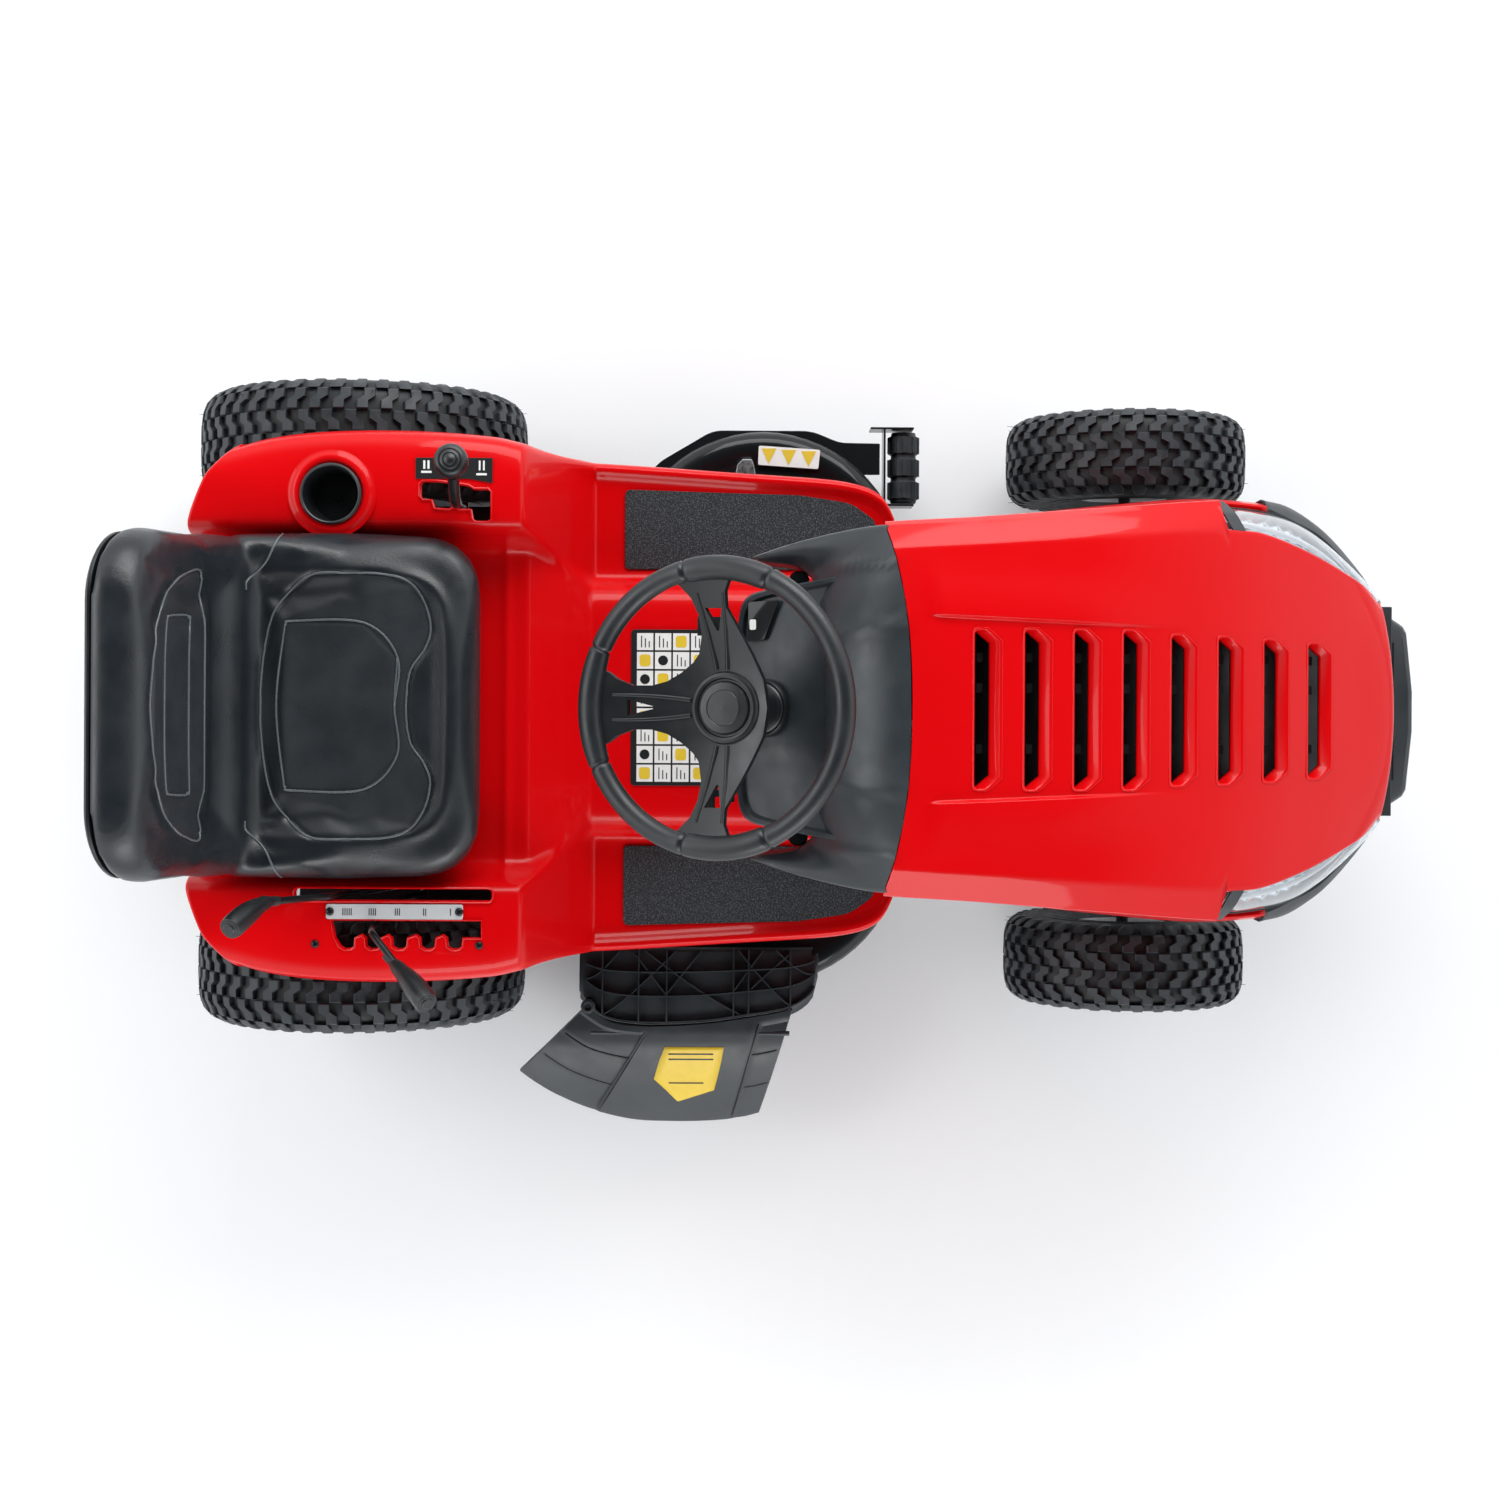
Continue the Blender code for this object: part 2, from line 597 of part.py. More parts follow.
def fender_row(y):
    """Half of a crosswise section through the body pan, from the middle out to the lip."""
    wide = between(FENDER_WIDTHS, y)
    footwell = min(max((0.310 - y) / 0.085, 0.0), 1.0)
    rolled = max(y - 0.780, 0.0) * 1.9
    top = FENDER_TOP - rolled
    deck = SEAT_DECK - rolled * 0.4
    seat_side = [(0.000, deck), (0.120, deck), (0.238, deck), (0.254, top), (0.320, top + 0.003),
                 (wide - 0.030, top), (wide - 0.007, top - 0.010), (wide, top - 0.036)]
    foot_side = [(0.000, TUNNEL_TOP), (0.150, TUNNEL_TOP), (0.186, TUNNEL_TOP - 0.012), (0.197, BOARD_TOP),
                 (0.260, BOARD_TOP), (wide - 0.022, BOARD_TOP), (wide - 0.010, BOARD_TOP + 0.012),
                 (wide, BOARD_TOP + 0.006)]
    row = []
    for (x0, z0), (x1, z1) in zip(seat_side, foot_side):
        row.append((x0 + (x1 - x0) * footwell, y, z0 + (z1 - z0) * footwell))
    return row


def body_pan():
    """Seat deck, both fenders, the footwells and the tunnel, pressed as one sheet."""
    rows = []
    for y in (0.803, 0.795, 0.780, 0.726, 0.656, 0.568, 0.463, 0.357, 0.310, 0.290, 0.260, 0.225,
              0.150, 0.000, -0.120, -0.185, -0.222, -0.236):
        half = fender_row(y)
        rows.append([(-x, y, z) for x, _, z in reversed(half[1:])] + half)
    pan = make("rear_fender", shell(rows, SHEET), "red_paint")
    front = BOARD_FRONT - 0.01
    cut(pan, box(-0.060, 0.060, front, -0.125, 0.36, 0.42))
    cut(pan, turned([(0, 0.50), (0.0425, 0.50), (0.0425, 0.60), (0, 0.60)], (CUP_X, CUP_Y, 0)))
    cut(pan, box(0.270, 0.312, 0.360, 0.455, 0.52, 0.60))
    cut(pan, box(PTO_PIVOT[0] - 0.009, PTO_PIVOT[0] + 0.009, 0.345, 0.645, 0.54, 0.60))
    cut(pan, box(-0.345, -0.306, 0.385, 0.585, 0.54, 0.60))


def trim():
    """The two foot mats and the cup holder dropped into the left fender."""
    for word, side in SIDES:
        outline = [(0.216, 0.178), (0.216, -0.110), (0.236, -0.192),
                   (0.306, -0.192), (0.324, -0.160), (0.341, 0.178)]
        outline = [(side * x, y) for x, y in outline]
        make(f"{word}_foot_mat", prism(outline, BOARD_TOP + GAP, BOARD_TOP + 0.0045), "mat_rubber")
    rim = FENDER_TOP + 0.004
    profile = [(0.0395, rim), (0.0395, rim + 0.009), (0.0475, rim + 0.007), (0.0500, rim),
               (0.0415, rim - 0.0005), (0.0350, rim - CUP_DEPTH), (0, rim - CUP_DEPTH)]
    inner = [(0, rim - CUP_DEPTH + 0.003), (0.0325, rim - CUP_DEPTH + 0.003)]
    make("cup_holder", turned(inner + profile, (CUP_X, CUP_Y, 0), sides=20), "grip_plastic", smooth=True)


HOOD_TOPS = [(-0.2225, 0.878), (-0.350, 0.858), (-0.500, 0.828), (-0.640, 0.788), (-0.760, 0.742),
             (-0.840, 0.700), (-0.885, 0.664), (-0.900, 0.640)]
HOOD_SHOULDERS = [(-0.2225, 0.232), (-0.350, 0.246), (-0.500, 0.262), (-0.640, 0.276), (-0.760, 0.262),
                  (-0.840, 0.215), (-0.885, 0.155), (-0.900, 0.135)]
HOOD_SKIRTS = [(-0.2225, 0.243), (-0.350, 0.268), (-0.500, 0.296), (-0.640, 0.307), (-0.760, 0.290),
               (-0.840, 0.236), (-0.885, 0.168), (-0.900, 0.145)]
LOUVRES = 8
LOUVRE_PITCH = 0.0645
LOUVRE_FIRST = -0.318


def hood_row(y):
    """Half of a crosswise section through the hood, from the ridge down to the skirt's edge."""
    top = between(HOOD_TOPS, y)
    shoulder = between(HOOD_SHOULDERS, y)
    skirt = between(HOOD_SKIRTS, y)
    crown = [(0.000, top), (shoulder * 0.45, top - 0.002), (shoulder * 0.80, top - 0.012),
             (shoulder, top - 0.040), ((shoulder + skirt) / 2 + 0.004, (top + HOOD_LOW) / 2),
             (skirt, HOOD_LOW)]
    return [(x, y, z) for x, z in crown]


def hood():
    """The hood shell with its eight louvre slots, its lamps and the grille across its nose."""
    origin = (0, HINGE_Y, HINGE_Z)
    rows = []
    for y, _ in HOOD_TOPS:
        half = hood_row(y)
        rows.append([(-x, y, z) for x, _, z in reversed(half[1:])] + half)
    cover = make("hood", shell(rows, SHEET), "red_paint", origin)
    for index in range(LOUVRES):
        y = LOUVRE_FIRST - index * LOUVRE_PITCH
        half = 0.106 - 0.0012 * index
        if half > between(HOOD_SHOULDERS, y) * 0.78:
            half = between(HOOD_SHOULDERS, y) * 0.78
        top = between(HOOD_TOPS, y)
        cut(cover, box(-half, half, y - 0.012, y + 0.012, top - 0.05, top + 0.03))
    for side in (1, -1):
        cut(cover, headlight_shape(side, 0.0026, 0.030))
    grille = []
    for y, inset in ((HOOD_NOSE - 0.002, 0.0), (HOOD_NOSE - 0.012, 0.010)):
        grille.append([(x * (0.142 - inset), y, z) for x, z in
                       ((-1, HOOD_LOW), (1, HOOD_LOW), (0.96, 0.600 - inset), (0.80, 0.628 - inset),
                        (-0.80, 0.628 - inset), (-0.96, 0.600 - inset))])
    make("grille", loft(grille), "black_paint", origin)
    for word, side in SIDES:
        make(f"{word}_headlight", headlight_shape(side, 0.0, 0.006), "clear_lens", origin)


def headlight_shape(side, grow, thick):
    """A lens wrapped round the hood's front corner; the cutter for its opening is thicker."""
    rings = []
    for y, inner in ((-0.655, 0.246), (-0.700, 0.238), (-0.760, 0.214), (-0.820, 0.170), (-0.868, 0.118)):
        top = between(HOOD_TOPS, y)
        shoulder = between(HOOD_SHOULDERS, y)
        skirt = between(HOOD_SKIRTS, y)
        share = (inner / shoulder - 0.80) / 0.20
        inner_z = top - 0.012 - 0.028 * max(share, 0.0)
        low_x = shoulder + (skirt - shoulder) * 0.25
        lift = thick - 0.0025
        ring = [(inner - grow, inner_z + lift), (shoulder + lift * 0.7, top - 0.040 + lift * 0.7),
                (low_x + lift + grow, top - 0.075 - grow),
                (low_x - 0.020 - 3 * grow, top - 0.075 - grow),
                (shoulder - 0.022 - 3 * grow, top - 0.062 - 3 * grow),
                (inner - grow, inner_z - 0.020 - 3 * grow)]
        rings.append([(side * x, y, z) for x, z in ring])
    if grow:
        rings.insert(0, [(x, y + grow, z) for x, y, z in rings[0]])
        rings.append([(x, y - grow, z) for x, y, z in rings[-1]])
    return loft(rings)


def dash():
    """The dash tower: a flaring four-sided wall with a sloping top round the steering column."""
    levels = [  # height at the rear and front, rear and front half-width, rear and front place
        (0.4020, 0.4020, 0.150, 0.170, -0.020, -0.212),
        (0.560, 0.560, 0.160, 0.180, -0.004, -0.214),
        (0.660, 0.740, 0.186, 0.216, 0.004, -0.214),
        (0.722, 0.862, 0.196, 0.230, 0.006, -0.215),
        (0.730, 0.872, 0.188, 0.224, -0.002, -0.209),
    ]
    rings = []
    for rear_z, front_z, rear_x, front_x, rear_y, front_y in levels:
        middle_z = (rear_z + front_z) / 2
        middle_x = (rear_x + front_x) / 2 + 0.004
        middle_y = (rear_y + front_y) / 2
        rings.append([
            (0.0, rear_y, rear_z), (rear_x * 0.5, rear_y, rear_z), (rear_x, rear_y - 0.010, rear_z),
            (middle_x, middle_y, middle_z),
            (front_x, front_y, front_z), (front_x * 0.5, front_y, front_z), (0.0, front_y, front_z),
            (-front_x * 0.5, front_y, front_z), (-front_x, front_y, front_z),
            (-middle_x, middle_y, middle_z),
            (-rear_x, rear_y - 0.010, rear_z), (-rear_x * 0.5, rear_y, rear_z)])
    rear_z, front_z, _, _, rear_y, front_y = levels[-1]
    slope = (front_z - rear_z) / (front_y - rear_y)
    boot_z = rear_z + slope * (column_y(0.750) - rear_y)
    boot_y = column_y(boot_z) - 0.004
    collar = []
    for step in range(12):
        angle = math.radians(90 - 30 * step)
        reach = 0.028 * math.sin(angle)
        collar.append((0.030 * math.cos(angle), boot_y + reach, boot_z + slope * reach))
    rings.append([tuple(0.45 * a + 0.55 * b for a, b in zip(edge, hole))
                  for edge, hole in zip(rings[-1], collar)])
    rings.append(collar)
    make("dash_panel", shell(rings, SHEET, wrapped=True), "dash_plastic")


# ---- Seat ------------------------------------------------------------------------------------
def rounded(half_x, y0, y1, corner, steps=3):
    """A rectangle with round corners, mirrored about the middle of the machine."""
    outline = arc(half_x - corner, y1 - corner, corner, 0, 90, steps)
    outline += arc(corner - half_x, y1 - corner, corner, 90, 180, steps)
    outline += arc(corner - half_x, y0 + corner, corner, 180, 270, steps)
    outline += arc(half_x - corner, y0 + corner, corner, 270, 360, steps)
    return outline


def seat():
    """Hinged pan, two bushes, hard shell, and the two cushions."""
    origin = (0, SEAT_HINGE_Y, SEAT_HINGE_Z)
    pan = make("seat_pan", box(-0.140, 0.140, SEAT_HINGE_Y, 0.700, 0.508, 0.512), "black_paint", origin)
    for side in (-1, 1):
        inner, outer = sorted((side * 0.100, side * 0.125))
        add(pan, box(inner, outer, SEAT_HINGE_Y - 0.010, SEAT_HINGE_Y + 0.020, SEAT_HINGE_Z - 0.010, 0.510))
        add(pan, rod((side * 0.110, 0.660, SEAT_DECK + 0.002), (side * 0.110, 0.660, 0.510), 0.018, 12))
    slide_origin = (0, SEAT_HINGE_Y, 0.520)
    shell_low = 0.514
    base = [(x, y, shell_low) for x, y in rounded(SEAT_HALF - 0.040, SEAT_FRONT + 0.030, 0.760, 0.070)]
    rim = [(x, y, shell_low + 0.018) for x, y in rounded(SEAT_HALF - 0.012, SEAT_FRONT + 0.012, 0.790, 0.085)]
    tub = make("seat_shell", loft([base, rim]), "grip_plastic", slide_origin)
    back = []
    for x, z in arc(BACK_HALF - 0.098, 0.820, 0.098, 0, 90, 4):
        back.append((x, z))
    outline = [(0.236, 0.520)] + back + [(-x, z) for x, z in reversed(back)] + [(-0.236, 0.520)]
    plate = loft([[(x, seat_back_y(z) + depth, z) for x, z in outline] for depth in (0.000, 0.012)])
    add(tub, plate)
    cushion = loft([
        [(x, y, 0.5340) for x, y in rounded(SEAT_HALF - 0.020, SEAT_FRONT + 0.014, 0.742, 0.075)],
        [(x, y, 0.556) for x, y in rounded(SEAT_HALF - 0.008, SEAT_FRONT + 0.002, 0.740, 0.085)],
        [(x, y, 0.588) for x, y in rounded(SEAT_HALF, SEAT_FRONT, 0.730, 0.085)],
        [(x, y, 0.612) for x, y in rounded(SEAT_HALF - 0.035, SEAT_FRONT + 0.040, 0.715, 0.085)]])
    make("seat_cushion", cushion, "seat_vinyl", slide_origin)
    padding = []
    for share, inset in ((0.0, 0.010), (0.45, 0.000), (0.80, 0.004), (1.0, 0.036)):
        ring = [(0.232 - inset, 0.6150 + inset * 0.3)]
        ring += arc(BACK_HALF - 0.103 - inset * 0.4, 0.820, 0.103 - inset * 0.6, 0, 90, 4)
        ring += [(-x, z) for x, z in reversed(ring)]
        padding.append([(x, seat_back_y(z) - GAP - 0.070 * share - 0.012 * share * (z < 0.7), z)
                        for x, z in ring])
    make("seat_back", loft(padding), "seat_vinyl", slide_origin)


def seat_back_y(height):
    """The front face of the backrest's hard plate."""
    return 0.768 + 0.185 * (height - 0.60)


# ---- Controls --------------------------------------------------------------------------------
def levers():
    """Shift lever, lift lever and blade lever, each with its pivot rod, and the two dash controls."""
    sx, sy, sz = SHIFT_PIVOT
    shift = make("shift_lever", tube([(sx, sy, sz), (sx, sy, sz + 0.080), (0.336, 0.400, 0.664)],
                                     LEVER_ROD, 8), "bare_steel", SHIFT_PIVOT)
    add(shift, rod((0.254, sy, sz), (sx + 0.008, sy, sz), 0.007),
        turned([(0, 0.655), (0.012, 0.657), (0.017, 0.672), (0.016, 0.688), (0, 0.696)],
               (0.338, 0.400, 0), sides=12))

    lx, ly, lz = LIFT_PIVOT
    lift = make("lift_lever", tube([(lx, ly, lz), (lx, 0.521, 0.520), (-0.325, 0.524, 0.566),
                                    (-0.348, 0.500, 0.620), (-0.372, 0.462, 0.668)], LEVER_ROD, 8),
                "bare_steel", LIFT_PIVOT)
    add(lift, rod((-RAIL_OUT - 0.002, ly, lz), (lx - 0.006, ly, lz), 0.008),
        tube([(-0.366, 0.471, 0.656), (-0.399, 0.417, 0.724)], 0.0135, 8))

    px, py, pz = PTO_PIVOT
    rest = Vector((px, 0.581, FENDER_TOP))
    pto = make("pto_lever", tube([PTO_PIVOT, rest, (-0.280, 0.640, 0.690)], LEVER_ROD, 8),
               "bare_steel", PTO_PIVOT)
    add(pto, rod((-RAIL_OUT - 0.002, py, pz), (px - 0.006, py, pz), 0.008),
        tube([(-0.279, 0.632, 0.672), (-0.286, 0.676, 0.762)], 0.0130, 8))

    for word, side in (("brake", 1), ("speed", -1)):
        x = side * 0.223
        pivot = (x, PEDAL_PIVOT_Y, PEDAL_PIVOT_Z)
        pad = (side * 0.229, -0.150, 0.405)
        pedal = make(f"{word}_pedal", tube([pivot, (x, -0.200, 0.500), pad], 0.006, 8), "black_paint", pivot)
        low, high = sorted((side * 0.206, side * 0.262))
        add(pedal, turn(box(low, high, pad[1] - 0.006, pad[1] + 0.006, pad[2] - 0.030, pad[2] + 0.030),
                        pad, "X", 0.5),
            rod((side * 0.2065, PEDAL_PIVOT_Y, PEDAL_PIVOT_Z),
                (x + side * 0.008, PEDAL_PIVOT_Y, PEDAL_PIVOT_Z), 0.009))
    dash_controls()


def dash_controls():
    """The throttle on the right of the steering column and the key on its left."""
    x, y, z = THROTTLE_PIVOT
    throttle = make("throttle_lever", rod((x - 0.012, y, z), (x + 0.012, y, z), 0.007), "black_paint",
                    THROTTLE_PIVOT)
    add(throttle, box(x - 0.005, x + 0.005, y, y + 0.030, z - 0.004, z + 0.004),
        soft_box(x - 0.033, x + 0.033, y + 0.020, y + 0.038, z - 0.009, z + 0.009, 0.004))
    knob = [(0, 0.0), (0.0125, 0.0), (0.0125, 0.016), (0, 0.016)]
    key = make("ignition_key", turned(knob, KEY_FACE, "y", 12), "grip_plastic", KEY_FACE)
    x, y, z = KEY_FACE
    add(key, box(x - 0.013, x + 0.013, y + 0.010, y + 0.052, z - 0.003, z + 0.003))


# ---- Engine and transmission -------------------------------------------------------------------
ENGINE_Y = -0.520


def engine():
    """Block, cooling shroud, screen, crankshaft pulley, muffler, battery and fuel tank."""
    base = RAIL_TOP + 0.006 + GAP
    block = make("engine_block", soft_box(-0.105, 0.105, -0.620, -0.430, base, 0.560, 0.010), "cast_alloy")
    for level in range(4):
        z = 0.430 + level * 0.026
        add(block, box(-0.070, 0.070, -0.720, -0.600, z, z + 0.008))
    add(block, box(-0.050, 0.050, -0.712, -0.600, 0.415, 0.530))
    shroud = [(0, 0.5605), (0.128, 0.5605), (0.138, 0.575), (0.138, 0.620), (0.118, 0.650), (0, 0.650)]
    make("engine_shroud", turned(shroud, (0, ENGINE_Y, 0), sides=20), "black_paint", smooth=True)
    screen = [(0, 0.6505), (0.104, 0.6505), (0.104, 0.658), (0.088, 0.670), (0, 0.674)]
    make("flywheel_screen", turned(screen, (0, ENGINE_Y, 0), sides=20), "grip_plastic",
         (0, ENGINE_Y, 0.66), True)
    pulley = [(0, 0.295), (0.052, 0.295), (0.046, 0.3075), (0.052, 0.320), (0.0140, 0.322),
              (0.0140, base - GAP), (0, base - GAP)]
    make("crankshaft_pulley", turned(pulley, (0, ENGINE_Y, 0)), "bare_steel", (0, ENGINE_Y, 0.31), True)
    make("muffler", soft_box(-0.130, 0.130, -0.840, -0.750, base, 0.470, 0.016), "bare_steel")
    make("battery", soft_box(0.010, 0.150, -0.400, -0.262, base, 0.530, 0.004), "grip_plastic")
    tank = make("fuel_tank", soft_box(-0.160, -0.005, -0.410, -0.255, base, 0.560, 0.018), "tank_plastic")
    add(tank, rod((-0.085, -0.330, 0.550), (-0.085, -0.330, 0.590), 0.030, 12))


def transmission():
    """Transaxle case between the rails, and the pulley on top of it."""
    case = make("transaxle_case", soft_box(-0.095, 0.095, 0.515, 0.660, 0.165, 0.315, 0.012), "cast_alloy")
    add(case, rod((-0.200, REAR_AXLE_Y, REAR_AXLE_Z), (0.200, REAR_AXLE_Y, REAR_AXLE_Z), 0.032, 16))
    for side in (-1, 1):
        inner, outer = sorted((side * (RAIL_IN + 0.004), side * (RAIL_OUT - 0.004)))
        add(case, box(inner, outer, REAR_AXLE_Y - 0.030, REAR_AXLE_Y + 0.030, REAR_AXLE_Z, RAIL_LOW - GAP))
    pulley = [(0, 0.3155), (0.012, 0.3155), (0.012, 0.324), (0.068, 0.324), (0.061, 0.334),
              (0.068, 0.344), (0.012, 0.346), (0, 0.346)]
    make("transaxle_pulley", turned(pulley, (0, 0.570, 0), sides=20), "bare_steel", (0, 0.570, 0.33), True)


# ---- Mowing deck -------------------------------------------------------------------------------
def deck_outline(radius):
    """Round ends about both spindles, joined straight at the front and the rear."""
    left = arc(SPINDLE_X, SPINDLE_Y, radius, -90, 90, 12)
    right = arc(-SPINDLE_X, SPINDLE_Y, radius, 90, 270, 12)
    return left + right


def deck():
    """The deck shell, open underneath and at its right side, with a rim and gauge roller lugs."""
    rings = []
    for radius, z in ((DECK_RADIUS, DECK_LOW), (DECK_RADIUS, DECK_TOP - 0.020),
                      (DECK_RADIUS - 0.020, DECK_TOP), (0.060, DECK_TOP + 0.001)):
        rings.append([(x, y, z) for x, y in deck_outline(radius)])
    pan = make("deck_shell", loft(rings), "black_paint", (0, SPINDLE_Y, DECK_TOP))
    rings = []
    for radius, z in ((DECK_RADIUS - SHEET, DECK_LOW - 0.01), (DECK_RADIUS - SHEET, DECK_TOP - 0.021),
                      (DECK_RADIUS - 0.022, DECK_TOP - SHEET)):
        rings.append([(x, y, z) for x, y in deck_outline(radius)])
    cut(pan, loft(rings))
    for side in (-1, 1):
        x = side * SPINDLE_X
        cut(pan, rod((x, SPINDLE_Y, DECK_TOP - 0.02), (x, SPINDLE_Y, DECK_TOP + 0.02), 0.026, 16))
    cut(pan, box(-0.500, -SPINDLE_X - 0.020, -0.150, 0.130, DECK_LOW - 0.01, 0.165))
    add(pan, box(0.420, 0.451, -0.220, 0.120, DECK_TOP - 0.034, DECK_TOP - 0.028),
        box(0.330, 0.334, -0.300, -0.150, 0.120, 0.160),
        box(0.455, 0.459, -0.300, -0.210, 0.120, 0.160),
        box(0.330, 0.459, -0.238, -0.234, 0.120, 0.160))
    roller = [(0, -0.058), (0.020, -0.058), (0.0262, -0.049), (0.0262, 0.049), (0.020, 0.058), (0, 0.058)]
    centre = (0.3945, -0.266, 0.126)
    make("gauge_roller", turned(roller, centre, "x", 16), "tyre_rubber", centre, True)


def blades():
    """A blade and a pulley on each spindle."""
    for word, side in SIDES:
        x = side * SPINDLE_X
        outline = [(x - 0.027, SPINDLE_Y - BLADE_REACH), (x + 0.027, SPINDLE_Y - BLADE_REACH),
                   (x + 0.027, SPINDLE_Y + BLADE_REACH), (x - 0.027, SPINDLE_Y + BLADE_REACH)]
        make(f"{word}_blade", prism(outline, BLADE_Z - 0.004, BLADE_Z), "bare_steel", (x, SPINDLE_Y, BLADE_Z))
        spindle = [(0, BLADE_Z + GAP), (0.022, BLADE_Z + GAP), (0.0125, BLADE_Z + 0.012), (0.0125, 0.211),
                   (0.066, 0.213), (0.059, 0.222), (0.066, 0.231), (0.014, 0.233), (0.012, 0.240), (0, 0.240)]
        make(f"{word}_spindle", turned(spindle, (x, SPINDLE_Y, 0)), "bare_steel", (x, SPINDLE_Y, 0.22), True)


def chute():
    """The ribbed adaptor fixed to the deck, and the deflector hinged along its outer edge."""
    low, high = (-0.152, 0.160)
    outline = [(-0.400, 0.199), (-0.440, 0.198), (-0.508, 0.190), (-0.514, 0.192), (-0.514, 0.197),
               (-0.508, 0.201), (-0.400, 0.212)]
    adaptor = make("chute_adaptor", prism(outline, -0.150, 0.210, "y"), "chute_plastic")
    for y in (low - 0.004, high):
        add(adaptor, prism([(-0.4525, 0.095), (-0.506, 0.095), (-0.512, 0.198), (-0.4525, 0.203)],
                           y, y + 0.006, "y"))
    for x in (-0.430, -0.470):
        rib = [(x, 0.2005), (x + 0.005, 0.2005), (x + 0.005, 0.222), (x, 0.222)]
        add(adaptor, prism(rib, -0.130, 0.190, "y"))

    hinge = (CHUTE_HINGE_X, 0.0, CHUTE_HINGE_Z)
    stations = [  # place outward from the hinge, height, rear edge, front edge
        (-0.5190, 0.2130, 0.272, -0.086), (-0.580, 0.190, 0.342, -0.064),
        (-0.640, 0.152, 0.272, -0.042), (-0.682, 0.108, 0.168, -0.022)]
    rows = []
    for x, z, rear, front in stations:
        drop = 0.028 if x > -0.60 else 0.020
        half = (rear - front) / 2
        middle = (rear + front) / 2
        rows.append([(x, rear, z - drop), (x, rear, z), (x, middle + half * 0.4, z + 0.004),
                     (x, middle - half * 0.4, z + 0.004), (x, front, z), (x, front, z - drop)])
    cover = make("discharge_chute", shell(rows, SHEET), "chute_plastic", hinge)
    bead_x = CHUTE_HINGE_X - 0.004
    add(cover, rod((bead_x, -0.084, CHUTE_HINGE_Z), (bead_x, 0.266, CHUTE_HINGE_Z), 0.0045, 8))


# ---- Assembly --------------------------------------------------------------------------------
def build():
    """Clear the scene and make the whole machine."""
    clear_scene()
    carrier = bpy.data.objects.new("machine", None)
    bpy.context.collection.objects.link(carrier)
    carrier.location = (MACHINE_X, MACHINE_Y, 0.0)
    frame()
    front_axle()
    steering()
    wheels()
    transmission()
    engine()
    body_pan()
    trim()
    hood()
    dash()
    seat()
    levers()
    deck()
    blades()
    chute()


build()
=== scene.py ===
"""Looks of the riding lawn mower: materials, turf tyres, hood, seat and controls, light and camera.

Shapes are given in the machine's own axes, as in the model: +x left, +y rear, +z up.  The frame's
wheels say where those axes lie in the world.
"""

import math
import random

import bpy
import bmesh
from mathutils import Matrix, Vector
from mathutils.bvhtree import BVHTree


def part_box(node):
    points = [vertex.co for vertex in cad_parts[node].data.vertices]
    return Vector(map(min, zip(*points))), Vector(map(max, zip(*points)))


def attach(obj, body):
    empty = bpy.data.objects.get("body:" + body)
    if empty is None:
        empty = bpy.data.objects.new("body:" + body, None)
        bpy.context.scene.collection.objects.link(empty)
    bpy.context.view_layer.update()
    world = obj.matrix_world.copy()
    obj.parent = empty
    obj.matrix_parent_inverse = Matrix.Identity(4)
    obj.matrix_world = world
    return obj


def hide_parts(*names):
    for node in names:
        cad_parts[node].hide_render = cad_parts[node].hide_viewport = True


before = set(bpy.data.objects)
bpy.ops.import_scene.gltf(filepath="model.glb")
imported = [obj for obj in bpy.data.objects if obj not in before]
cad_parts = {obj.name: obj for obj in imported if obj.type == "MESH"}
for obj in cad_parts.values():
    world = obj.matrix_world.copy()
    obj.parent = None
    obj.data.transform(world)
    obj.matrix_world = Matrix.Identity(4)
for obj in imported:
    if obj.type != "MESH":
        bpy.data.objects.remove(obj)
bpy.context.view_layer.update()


def middle(node):
    """The middle of a node's box."""
    low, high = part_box(node)
    return (Vector(low) + Vector(high)) / 2


REAR_AXLE_Y = 0.593
ORIGIN = Vector((middle("hood").x, middle("rear_left_tyre").y - REAR_AXLE_Y, 0.0))
SIDES = (("left", 1), ("right", -1))


# ---- Mesh tools ------------------------------------------------------------------------------
def built(name, shape, weld=0.0):
    """A mesh object in the world from a shape in the machine's axes."""
    points, faces = shape
    mesh = bpy.data.meshes.new(name)
    mesh.from_pydata([Vector(point) + ORIGIN for point in points], [], faces)
    editing = bmesh.new()
    editing.from_mesh(mesh)
    if weld:
        bmesh.ops.remove_doubles(editing, verts=editing.verts, dist=weld)
    bmesh.ops.recalc_face_normals(editing, faces=editing.faces)
    editing.to_mesh(mesh)
    editing.free()
    return placed(name, mesh)


def placed(name, data):
    """An object for a mesh, a light or a camera."""
    made = bpy.data.objects.new(name, data)
    bpy.context.collection.objects.link(made)
    return made


def piece(name, shape, surface, body, smooth=35, bevel=0.0, rounds=0, wall=0.0, stands_for=()):
    """A mesh object from a shape, with its surface and edges, riding on a body."""
    made = built(name, shape, 0.00001)
    made.data.shade_smooth()
    if smooth < 180:
        made.data.set_sharp_from_angle(angle=math.radians(smooth))
    made.data.materials.append(surface)
    finish_edges(made, bevel, rounds, wall)
    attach(made, body)
    if stands_for:
        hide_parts(*stands_for)
    return made


def add_step(made, kind, **settings):
    """A modifier with its settings."""
    step = made.modifiers.new(kind.lower(), kind)
    for setting, value in settings.items():
        setattr(step, setting, value)
    return step


def apply_steps(made):
    """An object's mesh becomes what its modifiers make of it."""
    made.data = frozen(made)
    made.modifiers.clear()


